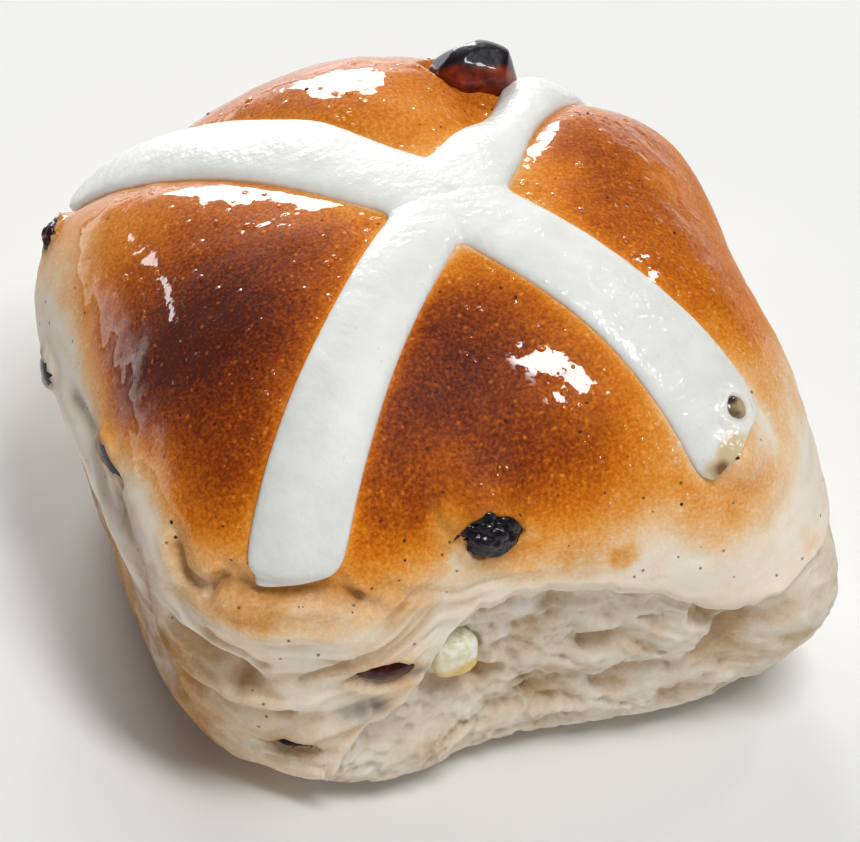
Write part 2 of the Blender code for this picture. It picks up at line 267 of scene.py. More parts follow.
@dataclass(frozen=True)
class DoughForm:
    """The uneven, risen shape that the crust, the crumb and the paste all follow."""

    half_side: float = 40.0
    outline_power: float = 4.0
    height: float = 56.0
    waist: float = 28.0
    reach_power: float = 2.27
    rise_power: float = 2.06
    wall_lean: float = 1.9
    foot_radius: float = 9.1
    side_radius: float = 45.0
    panel_bulges: tuple = ((90, 5.5), (180, 2.2), (-90, -0.6), (0, 2.0))
    panel_rise: float = 5.0
    panel_foot: float = 20.0
    panel_fade: float = 10.0
    # Swellings of the side: direction, height, half width, half height and swell.
    swells: tuple = (
        (-40, 16, 24, 11, 8.2), (145, 36, 22, 12, 2.8), (48, 44, 14, 10, -2.3), (-8, 26, 24, 14, -2.8),
        (-175, 26, 24, 14, 1.2), (-145, 10, 14, 10, -0.6), (-112, 4, 14, 8, 3.3), (-20, 36, 16, 9, 0.8),
        (-30, 18, 16, 14, 1.4), (165, 18, 18, 12, 1.5), (15, 46, 16, 9, 0.8), (-128, 30, 12, 4.5, 1.2),
    )
    # Bumps over what lies under the skin: centre, reach and height.
    bumps: tuple = (
        ((-4, 30, 52), 11, 1.3), ((21, 24, 50), 7, 1.6), ((27.0, -33.6, 40.4), 3.6, 1.7),
        ((-3.7, -36.4, 43.0), 4.2, 1.3), ((25.6, -34.4, 41.6), 2.3, 1.5), ((10.0, 20.0, 54.0), 6.0, -1.9),
        ((7.0, -24.5, 50.5), 10.0, 1.2), ((-9.5, 17.0, 54.5), 6.0, 0.9),
    )
    # Soft creases and ridges of the side: height, half width, then points of direction and height.
    creases: tuple = (
        (-1.4, 1.2, ((-143.5, 36), (-141, 33.5), (-137, 33), (-134.5, 35.6), (-126, 35.5), (-120, 36),
                     (-115, 33))),
        (-2.4, 1.5, ((-143, 24.7), (-138, 24.0), (-133, 23.0), (-131.5, 20.8))),
        (1.2, 1.7, ((-148, 25), (-147, 20.5), (-141, 19.2), (-135, 18.6), (-128, 18.2), (-123, 18.4))),
        (-1.3, 1.2, ((-141, 15.8), (-134, 16.0), (-128, 15.7), (-122, 15.2))),
        (-0.9, 1.4, ((-130, 8.6), (-123.5, 8.6), (-118, 8.8))),
        (-1.1, 1.6, ((-158, 31), (-166, 33), (-174, 34), (176, 33))),
        (-0.9, 1.6, ((162, 22), (150, 20), (138, 22))),
        (-1.2, 1.5, ((124, 31), (112, 33), (98, 31), (84, 33), (66, 31))),
        (-0.9, 1.6, ((106, 17), (94, 15), (80, 17))),
    )
    # Lower edge of the crust over the torn sides: direction and height.
    tear_edge: tuple = (
        (-120, 3), (-117.5, 9), (-114, 14), (-109, 16.5), (-105.5, 21.5), (-102.5, 26.5), (-98.5, 30),
        (-90, 31.2), (-80, 31.2), (-72, 29.8), (-65, 26.5), (-60, 24.2), (-55, 23.2), (-49, 24.4),
        (-38, 25.5), (-25, 29), (-10, 30), (5, 29), (18, 30.5), (30, 28), (40, 22),
    )
    tear_depth: float = 2.4
    tear_foot: float = 1.0
    tear_full: float = 13.0
    tear_end: float = 6.0
    edge_wander: float = 0.8
    edge_fray: float = 0.5
    # Holes that tearing opened in the crumb: direction, height, half width, half height and depth.
    crumb_holes: tuple = (
        (-75, 18.9, 4.6, 1.5, 2.6), (-63.5, 21.0, 3.2, 3.0, -1.6), (-56.5, 16.8, 2.6, 4.0, 3.6),
        (-79, 12.5, 4.4, 1.3, 1.2), (-88, 23.0, 4.4, 1.8, 1.4), (-96, 15.5, 4.2, 1.6, 1.2),
        (-67, 13.2, 3.6, 1.4, 1.4), (-90, 9.5, 4.0, 1.4, 1.0), (-30, 16.0, 5.0, 3.0, 2.2),
        (-12, 21.0, 6.0, 2.8, 2.4), (4, 13.5, 4.5, 3.0, 1.8), (20, 20.0, 5.0, 2.8, 1.8),
    )
    crossing: tuple = (1.5, 0.0)
    arms: tuple = (
        Arm(-133.0, 3.5, 4.3, 5.4, 0.2, 48.0), Arm(-47.5, -3.7, 5.4, 6.2, 0.0, 40.2),
        Arm(51.0, 0.0, 5.0, 5.2, 1.6, 45.0), Arm(137.5, -1.8, 5.2, 7.0, 0.3, 46.2),
    )
    arm_scale: float = 40.0
    waisting_at: float = 22.0
    waisting_reach: float = 9.0

    def outline_share(self, x: np.ndarray, y: np.ndarray) -> np.ndarray:
        """Return 1 on the outline of the widest level, and less inside it."""
        spread = np.abs(x) ** self.outline_power + np.abs(y) ** self.outline_power
        return spread ** (1.0 / self.outline_power) / self.half_side

    def dome_height(self, x: np.ndarray, y: np.ndarray) -> np.ndarray:
        """Return the height of the plain dome over places on the plan."""
        share = np.minimum(self.outline_share(x, y), 1.0)
        rise = (1.0 - share**self.reach_power) ** (1.0 / self.rise_power)
        return self.waist + (self.height - self.waist) * rise

    def outward(self, points: np.ndarray) -> np.ndarray:
        """Find the way out of the dough, square to the plain dome or to the wall below it.

        Args:
            points: Points, one row each.

        Returns:
            A direction of length 1 for each point.
        """
        x, y, z = points.T
        share = np.maximum(self.outline_share(x, y), 1e-6)
        slope = self.outline_power - 1.0
        scale = (share * self.half_side) ** slope * self.half_side
        side = self.reach_power * np.minimum(share, 1.0) ** (self.reach_power - 1.0) / scale
        dome = self.height - self.waist
        rise = np.maximum((z - self.waist) / dome, 0.0)
        up = self.rise_power * rise ** (self.rise_power - 1.0) / dome
        right, back = (np.sign(v) * np.abs(v) ** slope * side for v in (x, y))
        rays = np.stack([right, back, up], axis=1)
        return rays / np.linalg.norm(rays, axis=1, keepdims=True)

    def radial(self, points: np.ndarray) -> np.ndarray:
        """Return the level directions from the middle axis through points."""
        reach = np.maximum(np.hypot(points[:, 0], points[:, 1]), 1e-9)
        return np.stack([points[:, 0] / reach, points[:, 1] / reach, np.zeros(len(points))], axis=1)

    def direction(self, points: np.ndarray) -> np.ndarray:
        """Return the directions of points round the bun, in degrees."""
        return np.degrees(np.arctan2(points[:, 1], points[:, 0]))

    def arm_place(self, arm: Arm, x: np.ndarray, y: np.ndarray) -> tuple[np.ndarray, np.ndarray]:
        """Place points of the plan along an arm.

        Args:
            arm: The arm.
            x: Their places to the right.
            y: Their places to the back.

        Returns:
            How far they are along the arm, and how far beside its middle line.
        """
        direction = math.radians(arm.direction)
        right, ahead = x - self.crossing[0], y - self.crossing[1]
        along = right * math.cos(direction) + ahead * math.sin(direction)
        beside = ahead * math.cos(direction) - right * math.sin(direction)
        return along, beside - arm.bow * (along / self.arm_scale) ** 2

    def half_width(self, arm: Arm, along: np.ndarray) -> np.ndarray:
        """Return half the width of an arm at distances from the crossing."""
        waist = arm.waisting * np.exp(-(((along - self.waisting_at) / self.waisting_reach) ** 2))
        return arm.near + (arm.far - arm.near) * np.clip(along / self.arm_scale, 0.0, 1.0) - waist

    def outside_arm(self, arm: Arm, x: np.ndarray, y: np.ndarray) -> np.ndarray:
        """Return the plan distance from an arm's edge, 0 under the paste."""
        along, beside = self.arm_place(arm, x, y)
        outside = np.maximum(np.abs(beside) - self.half_width(arm, along), 0.0)
        return np.hypot(outside, np.minimum(along, 0.0))

    def from_cross(self, x: np.ndarray, y: np.ndarray) -> np.ndarray:
        """Return the plan distance to the edge of the nearest arm, 0 under the paste."""
        return np.min([self.outside_arm(arm, x, y) for arm in self.arms], axis=0)

    def panel_bulge(self, direction: np.ndarray, points: np.ndarray) -> np.ndarray:
        """Find how far the crust puffs up between the arms.

        Args:
            direction: Directions round the bun, in degrees.
            points: Points, one row each.

        Returns:
            The puff at each point, in millimetres.
        """
        x, y, z = points.T
        amount = sum(
            height * np.cos(np.radians(np.clip(turn_from(centre, direction), -90, 90))) ** 2
            for centre, height in self.panel_bulges
        )
        rises = [1.0 - np.exp(-self.outside_arm(arm, x, y) / self.panel_rise) for arm in self.arms]
        return amount * np.prod(rises, axis=0) * np.clip((z - self.panel_foot) / self.panel_fade, 0.0, 1.0)

    def bump_height(self, points: np.ndarray) -> np.ndarray:
        """Sum the bumps over what lies under the skin.

        Args:
            points: Points, one row each.

        Returns:
            The height of the bumps at each point.
        """
        return sum(
            height * np.exp(-((points - np.array(centre)) ** 2).sum(axis=1) / reach**2)
            for centre, reach, height in self.bumps
        )

    def side_swell(self, direction: np.ndarray, z: np.ndarray) -> np.ndarray:
        """Sum the broad swellings and hollows of the side.

        Args:
            direction: Directions round the bun, in degrees.
            z: Heights above the base.

        Returns:
            How far the side swells at each place.
        """
        return sum(
            swell * np.exp(-((turn_from(centre, direction) / width) ** 2) - ((z - level) / height) ** 2)
            for centre, level, width, height, swell in self.swells
        )

    def distance_to_line(self, direction: np.ndarray, z: np.ndarray, points: tuple) -> np.ndarray:
        """Measure along the side from a line.

        Args:
            direction: Directions round the bun, in degrees.
            z: Heights above the base.
            points: The line's points, each a direction and a height.

        Returns:
            The distance from each place to the line's nearest part.
        """
        nearest = np.full(z.shape, np.inf)
        for start, end in zip(points, points[1:]):
            run = math.radians(turn_from(start[0], end[0])) * self.side_radius
            climb = end[1] - start[1]
            right = np.radians(turn_from(start[0], direction)) * self.side_radius
            up = z - start[1]
            share = np.clip((right * run + up * climb) / (run * run + climb * climb), 0.0, 1.0)
            nearest = np.minimum(nearest, np.hypot(right - share * run, up - share * climb))
        return nearest

    def crease_height(self, direction: np.ndarray, z: np.ndarray) -> np.ndarray:
        """Sum the creases and ridges, each a soft channel along its line.

        Args:
            direction: Directions round the bun, in degrees.
            z: Heights above the base.

        Returns:
            How far they stand out at each place, less than 0 in a crease.
        """
        return sum(
            height * np.exp(-((self.distance_to_line(direction, z, points) / width) ** 2))
            for height, width, points in self.creases
        )

    def tear_line(self, direction: np.ndarray) -> np.ndarray:
        """Find the crust's frayed lower edge over the torn sides.

        Args:
            direction: Directions round the bun, in degrees.

        Returns:
            The height of the edge in each direction.
        """
        turns, levels = zip(*self.tear_edge)
        angle = np.radians(direction)
        loop = np.stack([np.cos(angle), np.sin(angle), np.zeros_like(angle)], axis=1) * self.side_radius
        wander = self.edge_wander * layered_noise(loop, 6.0, 31) + self.edge_fray * soft_noise(loop, 1.4, 37)
        return np.interp(direction, turns, levels, period=360.0) + wander

    def torn_share(self, direction: np.ndarray) -> np.ndarray:
        """Return 1 on the torn sides and 0 on the smooth ones."""
        first, last = self.tear_edge[0][0], self.tear_edge[-1][0]
        starts = smooth_step(first - self.tear_end, first, direction)
        return starts * (1.0 - smooth_step(last, last + self.tear_end, direction))

    def hole_depth(self, direction: np.ndarray, z: np.ndarray) -> np.ndarray:
        """Sum the holes that tearing opened in the crumb.

        Args:
            direction: Directions round the bun, in degrees.
            z: Heights above the base.

        Returns:
            How deep they are at each place.
        """
        return sum(
            depth * np.exp(-((np.radians(turn_from(centre, direction)) * self.side_radius / width) ** 2)
                           - ((z - level) / height) ** 2)
            for centre, level, width, height, depth in self.crumb_holes
        )

    def level_of(self, z: np.ndarray) -> np.ndarray:
        """Return the level, 0 at the top, 1 at the waist and 2 at the base, of heights."""
        rise = np.clip((z - self.waist) / (self.height - self.waist), 0.0, 1.0)
        dome = np.arccos(rise ** (self.rise_power / 2)) / (math.pi / 2)
        return np.where(z > self.waist, dome, 2.0 - z / self.waist)

    def plain_points(self, turns: np.ndarray, level: np.ndarray) -> np.ndarray:
        """Return points of the plain bun.

        Args:
            turns: Directions round the bun, in radians.
            level: 0 at the top, 1 at the waist and 2 at the base.

        Returns:
            The points, one row each.
        """
        radius = 1.0 / self.outline_share(np.cos(turns), np.sin(turns))
        angle = np.minimum(level, 1.0) * math.pi / 2
        down = np.maximum(level - 1.0, 0.0)
        rise = np.maximum(np.cos(angle), 0.0) ** (2 / self.rise_power)
        z = np.where(down > 0, self.waist * (1 - down), self.waist + (self.height - self.waist) * rise)
        below = np.maximum(self.foot_radius - z, 0.0)
        foot = self.foot_radius - np.sqrt(self.foot_radius**2 - below**2)
        reach = radius * np.sin(angle) ** (2 / self.reach_power) - self.wall_lean * down - foot
        return np.stack([reach * np.cos(turns), reach * np.sin(turns), z], axis=1)

    def settle(self, points: np.ndarray) -> np.ndarray:
        """Move points of the plain dome or wall to where they lie on the bun before it was torn.

        Args:
            points: Points, one row each.

        Returns:
            The moved points.
        """
        direction = self.direction(points)
        z = points[:, 2]
        puff = self.panel_bulge(direction, points) + self.bump_height(points)
        side = self.side_swell(direction, z) + self.crease_height(direction, z)
        return points + self.outward(points) * puff[:, None] + self.radial(points) * side[:, None]


# ---------------------------------------------------------------- fruit and its bed


class Flesh(Enum):
    """What a piece of fruit is, by the slot that its finish belongs to."""

    RAISIN = "raisin_skin"
    PEEL = "candied_peel"


class Build(Enum):
    """How a piece of fruit has kept its shape in the oven."""

    FACETED = "swollen, with flattened sides"
    WRINKLED = "dried into folds"
    PLUMP = "smooth where the dough pressed it"
    CUBED = "cut with a knife"


@dataclass(frozen=True)
class Fruit:
    """A raisin or a cube of candied peel, as it lies in the dough.

    Its half sizes are along its own axes, which are turned about X and then about Z. The opening in
    the dough in front of it is a lens: half length, half height and rise, as shares of the fruit's.
    """

    node: str
    flesh: Flesh
    build: Build
    centre: tuple
    half_sizes: tuple
    about_z: float
    about_x: float = 0.0
    opening: tuple = (1.0, 0.8, 0.0)
    ruddy_and_glow: float = 0.15
    amber: float = 0.0
    stain_and_shade: float = 0.5
    pointed: bool = True

    def axes(self) -> np.ndarray:
        """Return the turn from the fruit's own axes to the form frame, as a 3 by 3 array."""
        level = Matrix.Rotation(math.radians(self.about_z), 3, "Z")
        return np.array(level @ Matrix.Rotation(math.radians(self.about_x), 3, "X"))

    def own(self, points: np.ndarray) -> np.ndarray:
        """Return points in the fruit's own axes, as shares of its half sizes."""
        return (points - np.array(self.centre)) @ self.axes() / np.array(self.half_sizes)

    def reach(self, points: np.ndarray, rays: np.ndarray, share: float) -> np.ndarray:
        """Find where rays leave the fruit's smooth form.

        Args:
            points: Where the rays start, one row each.
            rays: Their directions.
            share: Size of the form, as a share of the fruit's.

        Returns:
            The distance along each ray, less than 0 behind its start, or NaN where it misses.
        """
        start = self.own(points)
        ray = rays @ self.axes() / np.array(self.half_sizes)
        square = (ray**2).sum(axis=1)
        middle = (start * ray).sum(axis=1)
        inner = middle**2 - square * ((start**2).sum(axis=1) - share**2)
        return np.where(inner > 0, (-middle + np.sqrt(np.maximum(inner, 0.0))) / square, np.nan)


FRUIT = (
    Fruit("raisin_crown", Flesh.RAISIN, Build.FACETED, (13.0, 27.0, 52.7), (5.5, 3.9, 3.8), -10,
          opening=(1.25, 1.2, -0.15), stain_and_shade=0.1),
    Fruit("raisin_front", Flesh.RAISIN, Build.WRINKLED, (-3.9, -36.0, 38.9), (4.2, 2.8, 3.2), -3, -30,
          opening=(1.0, 0.82, -0.18), ruddy_and_glow=0.0, stain_and_shade=0.6),
    Fruit("raisin_paste_end", Flesh.RAISIN, Build.PLUMP, (25.9, -29.7, 43.9), (2.7, 2.6, 2.9), 40,
          opening=(0.5, 0.46, 0.1), ruddy_and_glow=0.3, amber=0.85, stain_and_shade=0.3, pointed=False),
    Fruit("raisin_side", Flesh.RAISIN, Build.PLUMP, (-15.6, -37.3, 21.7), (4.0, 2.3, 1.9), -8,
          opening=(1.2, 1.0, -0.05), ruddy_and_glow=0.4, stain_and_shade=0.3),
    Fruit("raisin_low", Flesh.RAISIN, Build.WRINKLED, (-25.3, -34.9, 10.0), (3.0, 2.1, 1.5), -30,
          opening=(1.15, 1.0, -0.1), ruddy_and_glow=0.1, stain_and_shade=0.9),
    Fruit("raisin_left_slit", Flesh.RAISIN, Build.PLUMP, (-40.2, -11.6, 35.7), (4.9, 1.9, 2.1), 99,
          opening=(0.95, 0.3, 0.0), ruddy_and_glow=0.0, stain_and_shade=0.3),
    Fruit("raisin_left_spot", Flesh.RAISIN, Build.PLUMP, (-43.3, 10.4, 30.2), (2.8, 2.0, 2.3), 90,
          opening=(0.95, 0.6, 0.0), ruddy_and_glow=0.0, stain_and_shade=0.4),
    Fruit("raisin_left_top", Flesh.RAISIN, Build.WRINKLED, (-39.4, 25.2, 38.0), (3.2, 2.2, 2.5), 60,
          opening=(0.95, 0.7, 0.0), stain_and_shade=0.5),
    Fruit("raisin_right", Flesh.RAISIN, Build.WRINKLED, (38.9, 9.5, 34.0), (4.2, 2.5, 2.7), 92,
          opening=(0.95, 0.75, 0.0), stain_and_shade=0.5),
    Fruit("raisin_back", Flesh.RAISIN, Build.WRINKLED, (-9.5, 42.4, 30.5), (4.4, 2.6, 2.8), 4,
          opening=(0.95, 0.75, 0.0), stain_and_shade=0.5),
    Fruit("peel_side", Flesh.PEEL, Build.CUBED, (-7.2, -36.9, 21.0), (2.8, 2.2, 2.9), 6,
          opening=(1.25, 1.3, 0.0), stain_and_shade=0.1),
    Fruit("peel_right", Flesh.PEEL, Build.CUBED, (34.2, -11.0, 22.0), (2.2, 2.8, 2.6), 5,
          opening=(1.05, 1.0, 0.0), stain_and_shade=0.1),
)


@dataclass(frozen=True)
class Bedding:
    """How a skin of dough or paste lies round the fruit: drawn over it, and parted where it shows."""

    drawn: float = 1.05
    under: float = 0.86
    tuck: float = 0.25
    gap: float = 1.0
    lip: float = 0.22
    lip_width: float = 0.7
    band: float = 0.8
    fray: float = 0.3
    stain_and_shade_reach: float = 1.6
    farthest: float = 3.6

    def opened(self, fruit: Fruit, points: np.ndarray, form: DoughForm) -> np.ndarray:
        """Find how far points are inside a fruit's opening.

        Args:
            fruit: The fruit.
            points: Points, one row each.
            form: The dough's form.

        Returns:
            The distance inside it, in millimetres, less than 0 outside.
        """
        facing = form.outward(np.array([fruit.centre]))[0]
        along = fruit.axes()[:, 0]
        across = np.cross(facing, along)
        across /= np.linalg.norm(across)
        along = np.cross(across, facing)
        half_along, half_across = (np.linalg.norm(np.array(fruit.half_sizes) * (ray @ fruit.axes()))
                                   for ray in (along, across))
        from_centre = points - np.array(fruit.centre)
        length, height, rise = fruit.opening
        run = from_centre @ along / (half_along * length)
        climb = from_centre @ across / half_across - rise
        inside = height * (1.0 - run**2) - np.abs(climb)
        if not fruit.pointed:
            inside = height * (1.0 - np.hypot(run, climb / height))
        return inside * half_across + self.fray * soft_noise(points, 1.3, 61)

    def lay(self, points: np.ndarray, rays: np.ndarray, form: DoughForm,
            skipped: tuple = ()) -> tuple[np.ndarray, np.ndarray]:
        """Draw a skin over the fruit near it and part it at the openings.

        Args:
            points: The skin's points, one row each.
            rays: The directions out of the dough at the points.
            form: The dough's form.
            skipped: Nodes that the skin doesn't touch.

        Returns:
            The moved points, and how much stain and painted shade each takes from the fruit near it.
        """
        stain_and_shade = np.zeros(len(points))
        for fruit in FRUIT:
            if fruit.node in skipped:
                continue
            near = np.linalg.norm(points - np.array(fruit.centre), axis=1) < max(fruit.half_sizes) + 3.0
            if not near.any():
                continue
            place, ray = points[near], rays[near]
            inside = self.opened(fruit, place, form)
            over = fruit.reach(place, ray, self.drawn)
            lifted = (over > -1.0) & (over < self.farthest)
            over = np.where(lifted, 0.5 * (over + np.sqrt(over**2 + 0.02)), 0.0)
            below = fruit.reach(place, ray, self.under)
            below = np.where(np.isnan(below), -self.gap, np.minimum(below, -self.tuck))
            share = smooth_step(-self.band / 2, self.band / 2, inside)
            lip = self.lip * np.exp(-(((inside + self.lip_width) / self.lip_width) ** 2))
            points[near] = place + ray * ((1.0 - share) * (over + lip) + share * below)[:, None]
            # Painted shade as well as stain: the skin is darkened round each opening in the dough.
            mark = fruit.stain_and_shade * np.exp(-np.maximum(-inside, 0.0) / self.stain_and_shade_reach)
            stain_and_shade[near] = np.maximum(stain_and_shade[near], mark)
        return points, stain_and_shade


def form_offset() -> np.ndarray:
    """Return where the form frame's origin lies in the object's frame, in millimetres."""
    peel = FRUIT[-1]
    low, high = (np.array(corner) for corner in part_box(peel.node))
    return (low + high) / 2 / MM - np.array(peel.centre)


# ---------------------------------------------------------------- finishes


def linear(code: str) -> tuple[float, float, float, float]:
    """Return an sRGB hex colour as linear red, green, blue and alpha."""
    shares = [int(code[i : i + 2], 16) / 255 for i in (1, 3, 5)]
    return (*(s / 12.92 if s <= 0.04045 else ((s + 0.055) / 1.055) ** 2.4 for s in shares), 1.0)


def add_node(tree: bpy.types.NodeTree, kind: str, inputs: dict | None = None, stops: tuple = (),
             **settings: object) -> bpy.types.Node:
    """Add a node with its settings and links.

    Args:
        tree: Node tree that it goes in.
        kind: The node's type name.
        inputs: For each input's name or number, a value, a node whose first output feeds it, or the
            output socket that feeds it.
        stops: Places and hex colours of a colour ramp.
        settings: The node's own properties.

    Returns:
        The new node.
    """
    node = tree.nodes.new(kind)
    for name, value in settings.items():
        setattr(node, name, value)
    for place, code in stops:
        spare = len(node.color_ramp.elements) > 1 and place == stops[0][0]
        if spare:
            node.color_ramp.elements.remove(node.color_ramp.elements[1])
        element = node.color_ramp.elements[0] if spare else node.color_ramp.elements.new(place)
        element.position, element.color = place, linear(code)
    for key, value in (inputs or {}).items():
        if isinstance(value, bpy.types.Node):
            value = value.outputs[0]
        if isinstance(value, bpy.types.NodeSocket):
            tree.links.new(value, node.inputs[key])
        else:
            node.inputs[key].default_value = value
    return node


@dataclass(frozen=True)
class Finish:
    """What every finish shares: a material with one Principled shader."""

    name: str

    def start(self) -> tuple[bpy.types.Material, bpy.types.NodeTree, bpy.types.NodeSocket]:
        """Start a material.

        Returns:
            The new empty material, its tree and its object coordinates.
        """
        material = bpy.data.materials.new(self.name)
        material.use_nodes = True
        tree = material.node_tree
        tree.nodes.clear()
        return material, tree, add_node(tree, "ShaderNodeTexCoord").outputs["Object"]

    def close(self, tree: bpy.types.NodeTree, inputs: dict) -> None:
        """Add the Principled shader with its inputs, and the output."""
        shader = add_node(tree, "ShaderNodeBsdfPrincipled", inputs)
        add_node(tree, "ShaderNodeOutputMaterial", {"Surface": shader})


@dataclass(frozen=True)
class GlazedCrust(Finish):
    """Baked bun crust under sugar glaze, running out to pale flank.

    Browning goes from cream through gold and chestnut to deep brown, speckled at the scale of the
    crust's own blisters. Boiled sugar syrup lies over the top as a wavy clear coat, with beads.
    """

    name: str = "glazed_bun_crust"
    speckle: float = 0.42
    patch: float = 3.4
    fleck_spacing: float = 1.2
    pinhole_spacing: float = 2.6
    bead_spacing: float = 2.5
    glaze_wave: float = 3.6
    ripple: float = 0.9
    grain: float = 0.4
    pinhole_tone: str = "#2A1208"
    stain_and_shade_tone: str = "#8E5E28"
    seep_tone: str = "#4C5254"
    torn_tone: str = "#E8DAC4"
    browning: tuple = (
        (0.0, "#EFE4D4"), (0.1, "#EDD2AE"), (0.22, "#EBB476"), (0.35, "#E29438"), (0.48, "#D27614"),
        (0.6, "#B45A0A"), (0.74, "#8E3E08"), (0.88, "#6C2A0C"), (1.0, "#4E1C0A"),
    )

    def brown(self, tree: bpy.types.NodeTree, place: bpy.types.NodeSocket, bake: bpy.types.NodeSocket,
              broad: bpy.types.Node) -> bpy.types.Node:
        """Colour the crust by how long it baked, with speckle, patches and flecks.

        Args:
            tree: The material's tree.
            place: The object coordinates.
            bake: How brown the crust is.
            broad: The noise that its patches follow.

        Returns:
            The ramp that gives the colour.
        """
        fine = add_node(tree, "ShaderNodeTexNoise", {
            "Vector": place, "Scale": 1 / (self.speckle * MM), "Detail": 3.0, "Roughness": 0.6})
        # Speckle shows most where the crust is brown, and hardly on the pale flank.
        strength = add_node(tree, "ShaderNodeMath", {0: bake, 1: 0.75, 2: 0.1}, operation="MULTIPLY_ADD")
        fine_off = add_node(tree, "ShaderNodeMath", {0: fine, 1: 0.5}, operation="SUBTRACT")
        fine_part = add_node(tree, "ShaderNodeMath", {0: fine_off, 1: strength}, operation="MULTIPLY")
        broad_off = add_node(tree, "ShaderNodeMath", {0: broad, 1: 0.5}, operation="SUBTRACT")
        speckled = add_node(tree, "ShaderNodeMath", {0: fine_part, 1: 1.1, 2: bake}, operation="MULTIPLY_ADD")
        mottled = add_node(tree, "ShaderNodeMath", {
            0: broad_off, 1: 0.24, 2: speckled}, operation="MULTIPLY_ADD")
        # Flecks: specks of dry flour and bubbles of dough that browned less.
        cells = add_node(tree, "ShaderNodeTexVoronoi", {
            "Vector": place, "Scale": 1 / (self.fleck_spacing * MM), "Randomness": 1.0})
        fleck = add_node(tree, "ShaderNodeMapRange", {
            0: cells.outputs["Distance"], 1: 0.12, 2: 0.28, 3: -0.26, 4: 0.0})
        fleck_part = add_node(tree, "ShaderNodeMath", {0: fleck, 1: bake}, operation="MULTIPLY")
        picked = add_node(tree, "ShaderNodeSeparateColor", {0: cells.outputs["Color"]})
        chosen = add_node(tree, "ShaderNodeMath", {0: picked, 1: 0.62}, operation="GREATER_THAN")
        browned = add_node(tree, "ShaderNodeMath", {
            0: fleck_part, 1: chosen, 2: mottled}, operation="MULTIPLY_ADD")
        return add_node(tree, "ShaderNodeValToRGB", {0: browned}, self.browning)

    def pour_glaze(self, tree: bpy.types.NodeTree, place: bpy.types.NodeSocket,
                   calm: bpy.types.NodeSocket) -> bpy.types.Node:
        """Give the glaze waves a few millimetres long, with beads that stand on it.

        Args:
            tree: The material's tree.
            place: The object coordinates.
            calm: How smooth the glaze lies.

        Returns:
            The relief of the glaze.
        """
        wave = add_node(tree, "ShaderNodeTexNoise", {
            "Vector": place, "Scale": 1 / (self.glaze_wave * MM), "Detail": 1.0, "Distortion": 0.4})
        ripple = add_node(tree, "ShaderNodeTexNoise", {
            "Vector": place, "Scale": 1 / (self.ripple * MM), "Detail": 1.0})
        beads = add_node(tree, "ShaderNodeTexVoronoi", {
            "Vector": place, "Scale": 1 / (self.bead_spacing * MM), "Randomness": 1.0}, feature="SMOOTH_F1")
        bead = add_node(tree, "ShaderNodeMapRange", {
            0: beads.outputs["Distance"], 1: 0.02, 2: 0.2, 3: 0.3, 4: 0.0}, interpolation_type="SMOOTHSTEP")
        low = add_node(tree, "ShaderNodeMath", {0: ripple, 1: 0.04, 2: bead}, operation="MULTIPLY_ADD")
        film = add_node(tree, "ShaderNodeMath", {0: wave, 1: 0.4, 2: low}, operation="MULTIPLY_ADD")
        rough = add_node(tree, "ShaderNodeMath", {0: calm, 1: -0.7, 2: 1.0}, operation="MULTIPLY_ADD")
        return add_node(tree, "ShaderNodeBump", {"Height": film, "Strength": rough, "Distance": 0.5 * MM})

    def make(self) -> bpy.types.Material:
        """Build the material.

        Returns:
            The material.
        """
        material, tree, place = self.start()
        bake, glaze, calm, stain_and_shade, seep, crumb = (
            add_node(tree, "ShaderNodeAttribute", attribute_name=name).outputs["Fac"]
            for name in ("bake", "glaze", "calm", "stain_and_shade", "seep", "crumb"))
        broad = add_node(tree, "ShaderNodeTexNoise", {
            "Vector": place, "Scale": 1 / (self.patch * MM), "Detail": 4.0, "Roughness": 0.62})
        # Pinholes, where steam left the crust.
        holes = add_node(tree, "ShaderNodeTexVoronoi", {
            "Vector": place, "Scale": 1 / (self.pinhole_spacing * MM), "Randomness": 1.0})
        pin = add_node(tree, "ShaderNodeMapRange", {
            0: holes.outputs["Distance"], 1: 0.05, 2: 0.1, 3: 0.75, 4: 0.0})
        stain_and_shade_noise = add_node(tree, "ShaderNodeMath", {0: broad, 1: stain_and_shade}, operation="MULTIPLY")
        stain_and_shade_share = add_node(tree, "ShaderNodeMath", {
            0: stain_and_shade_noise, 1: 1.5}, operation="MULTIPLY", use_clamp=True)
        # Over the browning: pinholes, the stain round fruit and in folds, which is partly painted shade there
        # and on the left face, then a raisin's dark skin that shows blue and grey through thin dough, and the
        # torn edge.
        colour = self.brown(tree, place, bake, broad)
        for share, tone in ((pin, self.pinhole_tone), (stain_and_shade_share, self.stain_and_shade_tone),
                            (seep, self.seep_tone), (crumb, self.torn_tone)):
            colour = add_node(tree, "ShaderNodeMix", {
                0: share, 6: colour, 7: linear(tone)}, data_type="RGBA").outputs[2]
        # Relief too fine for the mesh: the skin's grain and pinholes.
        grain = add_node(tree, "ShaderNodeTexNoise", {
            "Vector": place, "Scale": 1 / (self.grain * MM), "Detail": 3.0})
        pitted = add_node(tree, "ShaderNodeMath", {0: pin, 1: -1.0, 2: grain}, operation="MULTIPLY_ADD")
        skin = add_node(tree, "ShaderNodeBump", {"Height": pitted, "Strength": 0.5, "Distance": 0.1 * MM})
        self.close(tree, {
            "Base Color": colour, "Roughness": 0.55, "Normal": skin, "Coat Weight": glaze,
            "Coat Roughness": 0.05, "Coat IOR": 1.47, "Coat Normal": self.pour_glaze(tree, place, calm),
            "Specular IOR Level": 0.12,
            "Subsurface Weight": 0.06, "Subsurface Radius": (1.0, 0.45, 0.2), "Subsurface Scale": 1.0 * MM,
        })
        return material


